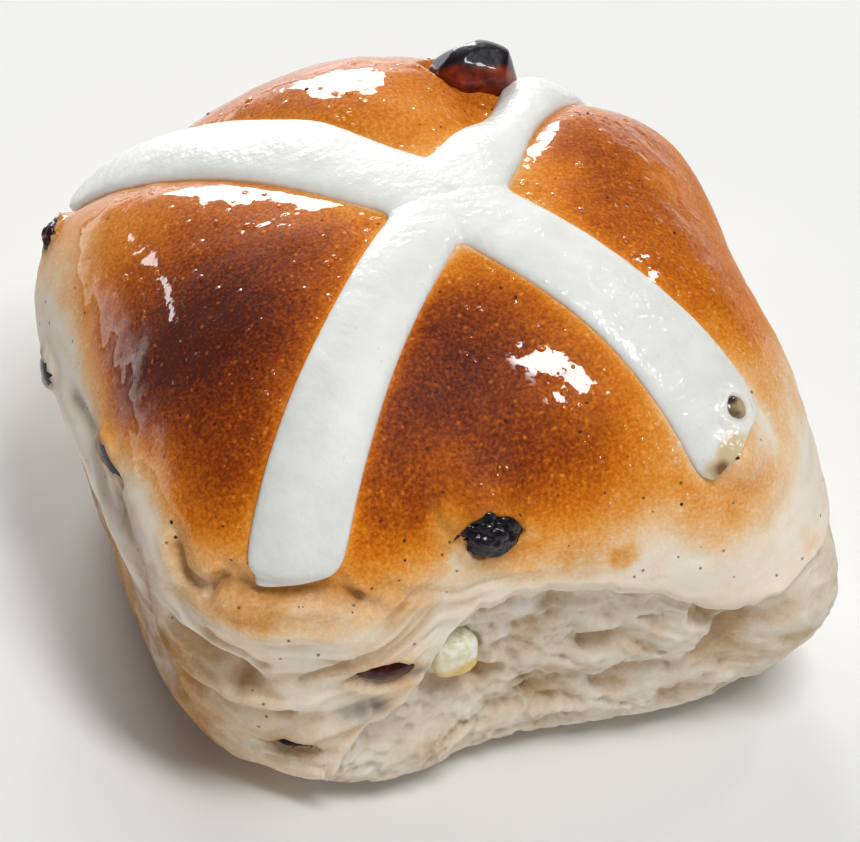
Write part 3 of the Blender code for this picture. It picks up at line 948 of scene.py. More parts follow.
@dataclass(frozen=True)
class OpenCrumb(Finish):
    """Torn bread crumb: matt, grey-beige, with painted shade that makes it browner in the holes, and a faint
    sheen on its strands.
    """

    name: str = "torn_wheat_crumb"
    patch: float = 5.0
    grain: float = 0.5
    stain_and_shade_tone: str = "#8A6742"
    tones: tuple = ((0.0, "#E4DBCD"), (0.25, "#D8C8B2"), (0.5, "#C2A47E"), (1.0, "#7C5632"))

    def make(self) -> bpy.types.Material:
        """Build the material.

        Returns:
            The material.
        """
        material, tree, place = self.start()
        hollow_shade, stain_and_shade = (add_node(tree, "ShaderNodeAttribute", attribute_name=name).outputs["Fac"]
                         for name in ("hollow_shade", "stain_and_shade"))
        broad = add_node(tree, "ShaderNodeTexNoise", {
            "Vector": place, "Scale": 1 / (self.patch * MM), "Detail": 4.0, "Roughness": 0.6})
        fine = add_node(tree, "ShaderNodeTexNoise", {
            "Vector": place, "Scale": 1 / (self.grain * MM), "Detail": 3.0})
        # Painted shade: the hollows darken the crumb's tone towards brown.
        uneven = add_node(tree, "ShaderNodeMath", {0: broad, 1: 1.0, 2: hollow_shade}, operation="MULTIPLY_ADD")
        grained = add_node(tree, "ShaderNodeMath", {0: fine, 1: 0.2, 2: uneven}, operation="MULTIPLY_ADD")
        toned = add_node(tree, "ShaderNodeMath", {0: grained, 1: 0.5}, operation="SUBTRACT")
        crumb = add_node(tree, "ShaderNodeValToRGB", {0: toned}, self.tones)
        stained = add_node(tree, "ShaderNodeMix", {
            0: stain_and_shade, 6: crumb.outputs[0], 7: linear(self.stain_and_shade_tone)}, data_type="RGBA")
        bump = add_node(tree, "ShaderNodeBump", {"Height": fine, "Strength": 0.6, "Distance": 0.12 * MM})
        self.close(tree, {
            "Base Color": stained.outputs[2], "Roughness": 0.7, "Normal": bump, "Subsurface Weight": 0.12,
            "Subsurface Radius": (1.0, 0.8, 0.6), "Subsurface Scale": 1.2 * MM,
        })
        return material


@dataclass(frozen=True)
class FlourPaste(Finish):
    """Flour-and-water paste, piped and baked under glaze: off-white, satin, with a few fine specks."""

    name: str = "baked_flour_paste"
    patch: float = 4.0
    speck_spacing: float = 1.7
    pebble: float = 1.3
    tones: tuple = ((0.3, "#DFE0DA"), (0.7, "#E9EAE6"))
    speck_tone: str = "#8C8F78"
    thin_tone: str = "#D3BF98"
    painted_shadow_tone: str = "#7E5A2C"

    def make(self) -> bpy.types.Material:
        """Build the material.

        Returns:
            The material.
        """
        material, tree, place = self.start()
        stain_and_shade, glaze = (add_node(tree, "ShaderNodeAttribute", attribute_name=name).outputs["Fac"]
                        for name in ("stain_and_shade", "glaze"))
        broad = add_node(tree, "ShaderNodeTexNoise", {
            "Vector": place, "Scale": 1 / (self.patch * MM), "Detail": 3.0})
        tone = add_node(tree, "ShaderNodeValToRGB", {0: broad}, self.tones)
        specks = add_node(tree, "ShaderNodeTexVoronoi", {
            "Vector": place, "Scale": 1 / (self.speck_spacing * MM)})
        speck = add_node(tree, "ShaderNodeMapRange", {
            0: specks.outputs["Distance"], 1: 0.05, 2: 0.12, 3: 0.2, 4: 0.0})
        picked = add_node(tree, "ShaderNodeSeparateColor", {0: specks.outputs["Color"]})
        chosen = add_node(tree, "ShaderNodeMath", {0: picked, 1: 0.55}, operation="GREATER_THAN")
        shown = add_node(tree, "ShaderNodeMath", {0: speck, 1: chosen}, operation="MULTIPLY")
        # Where the paste ran thin the dough shows through, beige; the brown is a painted shadow in the fold
        # beside the lump.
        thin = add_node(tree, "ShaderNodeMapRange", {0: stain_and_shade, 1: 0.0, 2: 0.6, 3: 0.0, 4: 1.0})
        painted_shadow = add_node(tree, "ShaderNodeMapRange", {0: stain_and_shade, 1: 0.6, 2: 1.0, 3: 0.0, 4: 1.0})
        colour = tone.outputs[0]
        for share, layer in ((shown, self.speck_tone), (thin, self.thin_tone), (painted_shadow, self.painted_shadow_tone)):
            colour = add_node(tree, "ShaderNodeMix", {
                0: share, 6: colour, 7: linear(layer)}, data_type="RGBA").outputs[2]
        wave = add_node(tree, "ShaderNodeTexNoise", {
            "Vector": place, "Scale": 1 / (self.pebble * MM), "Detail": 2.0})
        skin = add_node(tree, "ShaderNodeBump", {"Height": wave, "Strength": 0.8, "Distance": 0.16 * MM})
        # The syrup gathers in pebbles, which break its highlights up.
        film = add_node(tree, "ShaderNodeBump", {"Height": wave, "Strength": 1.0, "Distance": 0.3 * MM})
        self.close(tree, {
            "Base Color": colour, "Roughness": 0.5, "Normal": skin, "Coat Weight": glaze,
            "Coat Roughness": 0.15, "Coat IOR": 1.45, "Coat Normal": film, "Subsurface Weight": 0.15,
            "Subsurface Radius": (1.0, 0.95, 0.85), "Subsurface Scale": 1.0 * MM,
        })
        return material


@dataclass(frozen=True)
class RaisinSkin(Finish):
    """Raisin skin, wet with syrup: blue-black with a faint bloom, and red-brown where light gets in."""

    name: str = "syrup_wet_raisin_skin"
    mottle: float = 1.4
    crinkle: float = 0.7
    dark: tuple = ((0.35, "#0B0A10"), (0.65, "#1C1622"))
    red: tuple = ((0.35, "#4A150C"), (0.65, "#8A3018"))
    gold: tuple = ((0.35, "#6B5A40"), (0.65, "#B8A67E"))

    def make(self) -> bpy.types.Material:
        """Build the material.

        Returns:
            The material.
        """
        material, tree, place = self.start()
        ruddy_and_glow, amber = (add_node(tree, "ShaderNodeAttribute", attribute_name=name).outputs["Fac"]
                        for name in ("ruddy_and_glow", "amber"))
        mottle = add_node(tree, "ShaderNodeTexNoise", {
            "Vector": place, "Scale": 1 / (self.mottle * MM), "Detail": 3.0})
        dark, red, gold = (add_node(tree, "ShaderNodeValToRGB", {0: mottle}, tones).outputs[0]
                           for tones in (self.dark, self.red, self.gold))
        skin = add_node(tree, "ShaderNodeMix", {0: ruddy_and_glow, 6: dark, 7: red}, data_type="RGBA")
        body = add_node(tree, "ShaderNodeMix", {0: amber, 6: skin.outputs[2], 7: gold}, data_type="RGBA")
        crinkle = add_node(tree, "ShaderNodeTexNoise", {
            "Vector": place, "Scale": 1 / (self.crinkle * MM), "Detail": 2.0})
        bump = add_node(tree, "ShaderNodeBump", {"Height": crinkle, "Strength": 0.6, "Distance": 0.12 * MM})
        self.close(tree, {
            "Base Color": body.outputs[2], "Roughness": 0.45, "Normal": bump, "Coat Weight": 0.6,
            "Specular IOR Level": 0.25, "Coat Roughness": 0.06, "Coat IOR": 1.47, "Subsurface Weight": 0.1,
            "Subsurface Radius": (1.0, 0.25, 0.12), "Subsurface Scale": 1.5 * MM,
        })
        return material


@dataclass(frozen=True)
class CandiedPeel(Finish):
    """Candied citrus peel: pale, moist, translucent flesh with a yellow rind."""

    name: str = "candied_citrus_peel"
    mottle: float = 1.0
    flesh: tuple = ((0.35, "#DFD9B0"), (0.6, "#F4F3E6"))
    yellow: tuple = ((0.3, "#D9B24C"), (0.7, "#EBCB6E"))

    def make(self) -> bpy.types.Material:
        """Build the material.

        Returns:
            The material.
        """
        material, tree, place = self.start()
        rind = add_node(tree, "ShaderNodeAttribute", attribute_name="rind").outputs["Fac"]
        mottle = add_node(tree, "ShaderNodeTexNoise", {
            "Vector": place, "Scale": 1 / (self.mottle * MM), "Detail": 3.0})
        flesh, yellow = (add_node(tree, "ShaderNodeValToRGB", {0: mottle}, tones).outputs[0]
                         for tones in (self.flesh, self.yellow))
        body = add_node(tree, "ShaderNodeMix", {0: rind, 6: flesh, 7: yellow}, data_type="RGBA")
        bump = add_node(tree, "ShaderNodeBump", {"Height": mottle, "Strength": 0.8, "Distance": 0.3 * MM})
        self.close(tree, {
            "Base Color": body.outputs[2], "Roughness": 0.35, "Normal": bump, "Coat Weight": 0.5,
            "Coat Roughness": 0.1, "Coat IOR": 1.47, "Subsurface Weight": 0.4,
            "Subsurface Radius": (1.0, 0.9, 0.5), "Subsurface Scale": 1.5 * MM,
        })
        return material


@dataclass(frozen=True)
class GroundSpice(Finish):
    """Ground clove and cinnamon: dry, dark, matt grains."""

    name: str = "ground_spice"
    mottle: float = 2.0
    tones: tuple = ((0.3, "#1A120E"), (0.7, "#4A2E1C"))

    def make(self) -> bpy.types.Material:
        """Build the material.

        Returns:
            The material.
        """
        material, tree, place = self.start()
        mottle = add_node(tree, "ShaderNodeTexNoise", {
            "Vector": place, "Scale": 1 / (self.mottle * MM), "Detail": 1.0})
        tone = add_node(tree, "ShaderNodeValToRGB", {0: mottle}, self.tones)
        self.close(tree, {"Base Color": tone, "Roughness": 0.7})
        return material


@dataclass(frozen=True)
class PaintedBoard(Finish):
    """The studio floor: a matt painted board."""

    name: str = "matt_painted_board"
    mottle: float = 60.0
    tones: tuple = ((0.3, "#E4E4E2"), (0.7, "#E8E8E6"))

    def make(self) -> bpy.types.Material:
        """Build the material.

        Returns:
            The material.
        """
        material, tree, place = self.start()
        mottle = add_node(tree, "ShaderNodeTexNoise", {"Vector": place, "Scale": 1 / (self.mottle * MM)})
        tone = add_node(tree, "ShaderNodeValToRGB", {0: mottle}, self.tones)
        self.close(tree, {"Base Color": tone, "Roughness": 0.9})
        return material


# ---------------------------------------------------------------- the pieces


@dataclass(frozen=True)
class Fold:
    """A sharp fold in the side: how deep, how wide, how brown with stain and painted shade, and its line of
    directions and heights.
    """

    depth: float
    width: float
    stain_and_shade: float
    line: tuple


@dataclass
class Loaf:
    """The bun's skin: crust and smooth flanks, down to the lip over the torn sides, and the base."""

    form: DoughForm
    offset: np.ndarray
    segments: int = 460
    lip_ring: int = 156
    wall_rings: int = 34
    base_rings: int = 8
    crowding: float = 0.9
    gather: float = 0.4
    gather_at: float = -100.0
    lip_blend: int = 30
    lip_under: float = 9.0
    lip_rings: float = 6.0
    lip_flare: float = 0.15
    flare_rings: float = 4.0
    # Heights over which the pale flank turns to crust, and the corner round which its folds sag.
    crust_edge: tuple = (31.0, 40.0)
    near_corner: float = -127.0
    corner_width: float = 24.0
    corner_reach: float = 18.0
    corner_sag: float = 0.026
    folds: tuple = (
        Fold(0.9, 0.5, 0.8, ((-143.5, 34.7), (-141, 32.6), (-137, 32.3), (-135.5, 34.7), (-131.5, 34.8),
                              (-126, 34.7), (-121.5, 35.3), (-120, 34.8), (-116.5, 33.9))),
        Fold(1.2, 0.6, 0.65, ((-144, 24.0), (-139, 23.2), (-134, 22.2), (-132.0, 19.6))),
        Fold(0.8, 0.45, 0.5, ((-136, 28.1), (-132, 27.3), (-128.5, 24.4))),
        Fold(0.7, 0.4, 0.6, ((-134, 17.6), (-130, 16.8), (-125.5, 15.2))),
        Fold(0.7, 0.5, 0.5, ((-123.5, 21.4), (-120.5, 23.0), (-117.5, 24.2))),
        Fold(0.6, 0.5, 0.25, ((-129, 6.9), (-124, 7.2), (-119, 7.3))),
        Fold(0.3, 0.6, 0.14, ((-113.5, 35.6), (-107.5, 33.4), (-100.5, 32.8), (-93, 33.3))),
        Fold(0.35, 0.45, 0.5, ((-106, 43), (-104.5, 41.3), (-101.5, 39.5))),
        Fold(0.6, 0.5, 0.35, ((-146.5, 31.8), (-144.5, 28.6), (-141, 28.0))),
        Fold(1.0, 1.7, 0.85, ((-158, 33), (-154, 32), (-150, 29.5), (-148, 25), (-149.5, 18), (-147, 12))),
        Fold(0.5, 0.6, 0.3, ((-160, 30.5), (-167, 32.5), (-174, 33.5), (176, 32.5))),
        Fold(0.5, 0.6, 0.3, ((160, 22), (150, 20.4), (139, 22))),
        Fold(0.6, 0.6, 0.3, ((122, 31.2), (112, 32.8), (98, 31), (84, 32.8), (68, 31))),
        Fold(0.5, 0.6, 0.3, ((104, 17), (94, 15.2), (82, 17))),
    )
    # Browning of the flank, and what height adds to it: from, to and how much.
    flank_bake: float = 0.04
    bake_rises: tuple = ((29.5, 40.5, 0.31), (36.0, 47.0, 0.22))
    glaze_rise: tuple = (33.0, 42.0)
    # Painted shade on the lower left face, which is turned from the lamps: direction, half width, and the
    # heights where it ends.
    shaded_face: float = -168.0
    shaded_face_width: float = 36.0
    shaded_face_top: tuple = (19.0, 27.0)
    # The golden dough under the near corner's crease: direction, half width, and the heights it fills.
    under_crease: float = -126.0
    under_width: float = 14.0
    golden_rise: tuple = (28.5, 31.8)
    # Browner and paler patches of the crust: plan place, half widths and change. The pale patches at (16, 3)
    # and (28, 4) are painted highlight, where the glaze shows a haze.
    patches: tuple = (
        ((-28, -9), (9, 11), 0.38), ((-3, -22), (9, 10), 0.34), ((-15, -33), (8, 9), 0.16),
        ((3, -33), (8, 4), 0.15), ((21, 3), (7, 9), 0.17), ((0, 22), (14, 10), -0.03),
        ((2, 16), (7, 7), -0.06), ((-33, 14), (6, 6), -0.12), ((-34, -31), (5, 5), -0.06),
        ((-30, -25), (5, 8), 0.1), ((-39, -20), (3.5, 10), -0.33), ((25, -40), (8, 4), -0.06),
        ((31.5, -26.5), (8, 7), -0.3), ((10, -19), (5, 6), -0.08), ((1.5, -1), (13, 12), -0.27),
        ((18, -33), (6, 7), -0.17), ((16, 3), (5, 4), -0.1), ((14, -40), (7, 3.5), -0.08),
        ((-40, 5), (4, 9), -0.17), ((28, 4), (5, 4), -0.12), ((5, 18), (5, 4), -0.05),
        ((-8, -32), (3, 3), -0.1), ((21, -37.5), (5, 3), 0.14), ((37, -2), (4, 6), -0.03),
        ((-38, -29), (2.5, 3), 0.1), ((-15.5, -3), (4.5, 3), 0.07), ((-35, -8), (4, 4), 0.1),
        ((-40.5, -6), (2.5, 6), -0.2), ((-33, -27), (4, 3.5), 0.08), ((-8, -38.5), (7, 2.2), -0.14),
        ((-11, -26), (4, 4), 0.06), ((-11.5, -34.5), (2.5, 2.5), 0.06), ((-36.4, 1), (1.8, 8), 0.14),
        ((-37, -12), (2.5, 5), 0.09), ((-39.6, 8), (1.8, 6), -0.13), ((-36.5, 17), (3, 4), -0.1),
    )
    # Marks at folds of the skin, and where fruit shows through: place, reach, change of browning and stain.
    # The spot at (6.4, -38.9, 33.2) is a painted shadow above the lip.
    spots: tuple = (
        ((-8.7, -36.0, 40.8), 2.3, -0.17, 0.25), ((-6.6, -37.6, 37.6), 2.4, -0.12, 0.0),
        ((0.6, -37.2, 38.8), 1.6, -0.12, 0.2), ((6.4, -38.9, 33.2), 2.6, 0.05, 0.2),
        ((11.7, -39.1, 33.6), 1.7, 0.2, 0.1), ((36.6, -35.6, 27.2), 2.4, 0.14, 0.0),
    )
    # Where a raisin's dark skin shows through the dough: place, reach and strength.
    smears: tuple = (
        ((-19.9, -39.0, 16.2), 1.5, 0.5), ((-18.4, -39.3, 16.6), 1.6, 0.75), ((-16.7, -39.5, 17.1), 1.5, 0.9),
    )

    def build(self) -> bpy.types.Object:
        """Shape a sphere into the bun, ring by ring, and give it its fine relief.

        Returns:
            The skin.
        """
        form = self.form
        rings = self.lip_ring + self.wall_rings + self.base_rings
        piece, sphere = add_sphere("bun_skin", self.segments, rings)
        # Columns stand closest on the torn near side, which has the finest shapes.
        even = np.arctan2(sphere[:, 1], sphere[:, 0])
        turns = even - self.gather * np.sin(even - math.radians(self.gather_at))
        direction = turn_from(0.0, np.degrees(turns))
        ring = np.round(np.arccos(np.clip(sphere[:, 2], -1, 1)) / math.pi * rings)
        # Rings follow the lip's broad run, and only the last of them its frayed edge.
        table = np.arange(-180.0, 180.0, 0.5)
        lips = form.level_of(form.tear_line(table))
        run = sum(np.roll(lips, shift) for shift in range(-self.lip_blend, self.lip_blend + 1))
        lip, broad = (np.interp(direction, table, levels, period=360.0)
                      for levels in (lips, run / (2 * self.lip_blend + 1)))
        past = np.clip((ring - self.lip_ring) / self.wall_rings, 0.0, 1.0)
        above = np.minimum(ring / self.lip_ring, 1.0)
        level = broad * above**self.crowding + (lip - broad) * above**6 + (2.0 - lip) * past
        plain = form.plain_points(turns, level)
        points = form.settle(plain)
        inward = np.clip((ring - self.lip_ring - self.wall_rings) / self.base_rings, 0.0, 1.0)
        points[:, :2] *= (1.0 - inward)[:, None]
        points, fold_stain_and_shade = self.wrinkle(plain, points)
        hidden = form.torn_share(direction) * smooth_step(0.0, self.lip_rings, ring - self.lip_ring)
        points, stain_and_shade = self.turn_under(plain, points, ring, hidden, fold_stain_and_shade)
        points[:, 2] = np.maximum(points[:, 2], 0.0)
        self.record_baking(piece, plain, points, ring, stain_and_shade)
        write_inside(piece, points + self.offset)
        piece.data.shade_smooth()
        return piece

    def turn_under(self, plain: np.ndarray, points: np.ndarray, ring: np.ndarray, hidden: np.ndarray,
                   fold_stain_and_shade: np.ndarray) -> tuple[np.ndarray, np.ndarray]:
        """Bed the fruit, then turn the skin under behind its lip on the torn sides.

        Args:
            plain: The same points on the plain bun, one row each.
            points: The skin's points.
            ring: The ring of each point, counted from the top.
            hidden: How far each point lies behind the lip, 0 to 1.
            fold_stain_and_shade: How much stain and painted shade the folds give each point.

        Returns:
            The moved points, and how much stain and painted shade each has.
        """
        form = self.form
        showing = hidden < 0.02
        rays = form.outward(plain)
        bedded, stain_and_shade = Bedding().lay(points.copy(), rays, form)
        points = np.where(showing[:, None], bedded, points)
        torn = form.torn_share(form.direction(plain))
        flare = self.lip_flare * np.exp(-(((ring - self.lip_ring) / self.flare_rings) ** 2)) * torn
        points = points + form.radial(plain) * (flare - self.lip_under * hidden)[:, None]
        return points, np.maximum(stain_and_shade, fold_stain_and_shade)

    def wrinkle(self, plain: np.ndarray, points: np.ndarray) -> tuple[np.ndarray, np.ndarray]:
        """Add the crust's undulation, and the flank's streaks and folds.

        Args:
            plain: The same points on the plain bun, one row each.
            points: The skin's points.

        Returns:
            The moved points, and how much stain and painted shade the folds give each.
        """
        form = self.form
        direction = form.direction(plain)
        z = plain[:, 2]
        crust = smooth_step(*self.crust_edge, z)
        flank = (1.0 - crust) * smooth_step(0.3, 4.0, z)
        relief = crust * (0.16 * layered_noise(points, 7.0, 3) + 0.05 * soft_noise(points, 2.2, 5))
        arc = np.radians(direction) * form.side_radius
        # Folds sag round the near corner, where the dough bulged out under the crust.
        turned = turn_from(self.near_corner, direction)
        from_corner = np.clip(np.radians(turned) * form.side_radius, -self.corner_reach, self.corner_reach)
        sag = z - self.corner_sag * from_corner**2 + 1.2 * soft_noise(points, 9.0, 71)
        sweep = np.stack([arc * 0.28, sag, np.zeros_like(z)], axis=1)
        corner = np.exp(-((turned / self.corner_width) ** 4))
        streaks = 1.0 - 2.2 * np.abs(layered_noise(sweep, 3.4, 13, 3))
        relief += flank * (0.35 * layered_noise(points, 8.0, 11) + (0.16 + 0.36 * corner) * streaks - 0.1)
        # Painted shade, with some browning: the valleys of the streaks and the folds are coloured darker.
        fold_stain_and_shade = flank * (0.1 + 0.42 * corner) * smooth_step(0.1, -0.6, streaks)
        wobble = 0.35 * soft_noise(points, 2.5, 73)
        for fold in self.folds:
            distance = form.distance_to_line(direction, z + wobble, fold.line) / fold.width
            rim = 0.4 * np.exp(-(((distance - 2.2) / 1.2) ** 2))
            relief += fold.depth * (rim - np.exp(-distance))
            fold_stain_and_shade = np.maximum(fold_stain_and_shade, fold.stain_and_shade * np.exp(-((distance / 1.7) ** 2)))
        return points + form.outward(plain) * relief[:, None], fold_stain_and_shade

    def mark_spots(self, piece: bpy.types.Object, points: np.ndarray, bake: np.ndarray,
                   stain_and_shade: np.ndarray) -> tuple[np.ndarray, np.ndarray]:
        """Brown and stain the skin in its spots, one of them a painted shadow, and store where a raisin shows
        through it.

        Args:
            piece: The skin.
            points: The skin's points, one row each.
            bake: How brown each point is so far.
            stain_and_shade: How much stain and painted shade each point has so far.

        Returns:
            How brown each point is, and how much stain and painted shade it has.
        """
        ragged = 0.8 * layered_noise(points, 1.6, 35)
        for place, reach, change, mark in self.spots:
            from_spot = np.linalg.norm(points - np.array(place), axis=1) + ragged
            near = np.exp(-((from_spot / reach) ** 4))
            bake = bake + change * near
            stain_and_shade = np.maximum(stain_and_shade, mark * near)
        seep = np.zeros(len(points))
        ragged = 0.5 * layered_noise(points, 1.1, 61)
        for place, reach, strength in self.smears:
            from_smear = np.linalg.norm(points - np.array(place), axis=1) + ragged
            seep = np.maximum(seep, strength * np.exp(-((from_smear / reach) ** 2)))
        write_attribute(piece, "seep", seep)
        return bake, stain_and_shade

    def record_glaze(self, piece: bpy.types.Object, plain: np.ndarray, points: np.ndarray,
                     uneven: np.ndarray) -> None:
        """Store how thick the syrup lies at each vertex, and how smooth.

        Args:
            piece: The skin.
            plain: The same points on the plain bun, one row each.
            points: The skin's points.
            uneven: How far the crust's lower edge wanders at each point.
        """
        x, y, z = plain.T
        # The syrup went on thin over the left of the near panel, and thick in the middle of it.
        edge = x + 0.4 * (y + 20.0) + 1.6 * layered_noise(points, 3.0, 29)
        dry = smooth_step(2.0, 0.5, edge) * smooth_step(-13.0, -17.0, y) * smooth_step(-30.0, -22.0, x)
        thin = 0.9 * smooth_step(27.0, 34.0, x) * smooth_step(-22.0, -14.0, y)
        lower_edge = smooth_step(*self.glaze_rise, z + uneven)
        write_attribute(piece, "glaze", lower_edge * (1.0 - dry) * (1.0 - thin))
        write_attribute(piece, "calm", smooth_step(-24.0, -34.0, x))

    def record_baking(self, piece: bpy.types.Object, plain: np.ndarray, points: np.ndarray, ring: np.ndarray,
                      stain_and_shade: np.ndarray) -> None:
        """Store how brown, how glazed, how stained and painted with shade, and how torn the skin is at each
        vertex.

        Args:
            piece: The skin.
            plain: The same points on the plain bun, one row each.
            points: The skin's points.
            ring: The ring of each point, counted from the top.
            stain_and_shade: How much stain and painted shade each point has so far.
        """
        form = self.form
        x, y, z = plain.T
        direction = form.direction(plain)
        away = form.from_cross(x, y)
        uneven = 1.6 * layered_noise(points, 9.0, 23)
        corner = np.exp(-((turn_from(self.under_crease, direction) / self.under_width) ** 4))
        crease = np.interp(direction, *zip(*self.folds[0].line))
        level = z + uneven + 1.5 * np.exp(-((turn_from(-52.0, direction) / 14.0) ** 2))
        bake = self.flank_bake + sum(
            gain * smooth_step(low, high, level) for low, high, gain in self.bake_rises)
        for (centre_x, centre_y), (wide, deep), change in self.patches:
            bake += change * np.exp(-(((x - centre_x) / wide) ** 2) - ((y - centre_y) / deep) ** 2)
        # Painted shade: the lower part of the bun's left face, turned from the lamps, is made darker, tan and
        # browner.
        side = np.exp(-((turn_from(self.shaded_face, direction) / self.shaded_face_width) ** 6))
        side = side * (1.0 - smooth_step(*self.shaded_face_top, z + uneven))
        stain_and_shade = np.maximum(stain_and_shade, 0.85 * side)
        bake += 0.16 * side
        # Under the crease of the near corner the dough is golden, then pale.
        under = corner * smooth_step(0.3, -0.9, z - crease)
        golden = smooth_step(*self.golden_rise, z + 0.5 * uneven)
        deeper = smooth_step(-123.0, -129.0, direction)
        bake += under * (0.02 + (0.11 + 0.09 * deeper) * golden - bake)
        stain_and_shade = np.maximum(stain_and_shade, (0.1 + 0.2 * deeper) * under * golden)
        bake, stain_and_shade = self.mark_spots(piece, points, bake, stain_and_shade)
        tan = np.exp(-(((direction + 141.0) / 6.0) ** 2) - ((z - 32.0) / 3.0) ** 2)
        stain_and_shade = np.maximum(stain_and_shade, 0.45 * tan)
        bake += 0.1 * np.exp(-((turn_from(-165.0, direction) / 22.0) ** 2)) * smooth_step(37.0, 42.0, z)
        # Browner where the skin has stain and painted shade: in the folds, round the fruit and on the shaded
        # left face.
        bake += 0.09 * stain_and_shade * smooth_step(42.0, 36.0, z)
        bake -= 0.22 * np.exp(-away / 0.7) * smooth_step(36.0, 42.0, z)
        bake += 0.10 * np.exp(-((z - 2.0) / 2.0) ** 2)
        write_attribute(piece, "bake", np.clip(bake, 0.0, 1.0))
        write_attribute(piece, "stain_and_shade", stain_and_shade)
        self.record_glaze(piece, plain, points, uneven)
        # Torn crumb shows on the lip's frayed edge, and everywhere below it.
        past_lip = ring - self.lip_ring
        frayed = 0.8 * np.exp(-((past_lip / (3.0 + 1.6 * soft_noise(points, 2.4, 33))) ** 2))
        torn = form.torn_share(direction) * np.maximum(frayed, smooth_step(0, 4, past_lip))
        write_attribute(piece, "crumb", torn)


@dataclass
class TornCrumb:
    """The open crumb behind the lip: one closed band round the two torn sides."""

    form: DoughForm
    offset: np.ndarray
    columns: int = 500
    front_rows: int = 124
    back_rows: int = 12
    first: float = -131.0
    last: float = 47.0
    tuck: float = 2.2
    back_depth: float = 12.0
    end_dive: float = 3.0
    end_width: float = 5.0
    # Directions between which the crumb is flush with the skin, and what share of its relief it loses.
    flush_from: tuple = (-54.0, -48.0)
    flush_to: tuple = (-34.0, -26.0)
    flush_loss: float = 0.6
    lump: float = 0.85
    strand: float = 0.35
    # Sizes of the lumps, strands, holes, pores and finest pores that tearing left, in millimetres.
    lump_size: float = 6.0
    strand_size: float = 3.6
    hole_size: float = 4.2
    pore_size: float = 2.1
    pinprick_size: float = 1.15

    def build(self) -> bpy.types.Object:
        """Shape a sphere, laid on its side, into the band.

        Returns:
            The crumb.
        """
        form = self.form
        rows = self.front_rows + self.back_rows
        piece, sphere = add_sphere("torn_crumb", rows, self.columns)
        column = np.arccos(np.clip(sphere[:, 2], -1, 1)) / math.pi
        row = np.round(np.degrees(np.arctan2(sphere[:, 1], sphere[:, 0])) % 360.0 / 360.0 * rows) % rows
        direction = self.first + (self.last - self.first) * column
        front = row <= self.front_rows
        share = np.where(front, row / self.front_rows, 1.0 - (row - self.front_rows) / self.back_rows)
        top = form.tear_line(direction) + self.tuck
        z = 0.05 + (top - 0.05) * share
        plain = form.plain_points(np.radians(direction), form.level_of(z))
        settled = form.settle(plain)
        relief, hollow_shade = self.tear(settled)
        ends = 1.0 - (smooth_step(0.0, self.end_width, direction - self.first)
                      * smooth_step(0.0, self.end_width, self.last - direction))
        below_lip = smooth_step(-0.6, 1.4, form.tear_line(direction) - z)
        depth = form.tear_depth * smooth_step(form.tear_foot, form.tear_full, z) * form.torn_share(direction)
        # At the right of the near side the tear ran out, and the crumb is smooth and flush with the skin.
        flush = smooth_step(*self.flush_from, direction) * (1.0 - smooth_step(*self.flush_to, direction))
        kept = 1.0 - self.flush_loss * flush
        depth = depth * kept + form.hole_depth(direction, z) * below_lip + self.end_dive * ends + 0.1
        depth = depth - relief * (0.25 + 0.75 * below_lip) * smooth_step(0.0, 3.0, z) * kept
        depth = np.where(front, np.maximum(depth, 0.02), self.back_depth)
        points = settled - form.radial(plain) * depth[:, None]
        laid, stain_and_shade = Bedding(lip=0.1).lay(points.copy(), form.outward(plain), form)
        points = np.where(front[:, None], laid, points)
        points[:, 2] = np.maximum(points[:, 2], 0.02)
        # Painted shade, darker still in the torn holes.
        write_attribute(piece, "hollow_shade", np.clip(hollow_shade + 0.14 * form.hole_depth(direction, z), 0.0, 1.0))
        write_attribute(piece, "stain_and_shade", stain_and_shade)
        write_inside(piece, points + self.offset)
        face_outwards(piece)
        piece.data.shade_smooth()
        return piece

    def tear(self, points: np.ndarray) -> tuple[np.ndarray, np.ndarray]:
        """Pull the crumb into lumps, strands, holes and pores.

        Args:
            points: Points, one row each.

        Returns:
            How far the crumb stands out at each point, and how much painted shade it takes for lying deep in
            a hole, 0 to 1.
        """
        swept = points + 1.2 * np.stack([soft_noise(points, 5.0, seed) for seed in (81, 83, 85)], axis=1)
        stretched = swept * np.array([0.65, 0.65, 1.3])
        lumps = layered_noise(stretched, self.lump_size, 87)
        strands = 1.0 - 2.0 * np.abs(layered_noise(stretched, self.strand_size, 91, 2))
        wide, wide_draw = cell_pattern(stretched, self.hole_size, 93)
        small, small_draw = cell_pattern(swept, self.pore_size, 97)
        shaken = points + 0.4 * soft_noise(points, 2.0, 101)[:, None]
        tiny, tiny_draw = cell_pattern(shaken, self.pinprick_size, 103)
        holes = (0.5 + 1.6 * wide_draw) * smooth_step(0.7, 0.08, wide) * (wide_draw > 0.35)
        pores = 0.6 * smooth_step(0.65, 0.1, small) * (small_draw > 0.4)
        pores += 0.34 * smooth_step(0.7, 0.15, tiny) * (tiny_draw > 0.35)
        fine = 0.07 * soft_noise(points, 0.7, 99)
        relief = self.lump * lumps + self.strand * strands - holes - pores + fine
        # Painted shade: the deeper in a hole, a pore or between lumps, the darker the colour.
        hollow_shade = 0.17 * holes + 0.13 * pores + 0.14 * np.maximum(-lumps, 0.0)
        return relief, hollow_shade


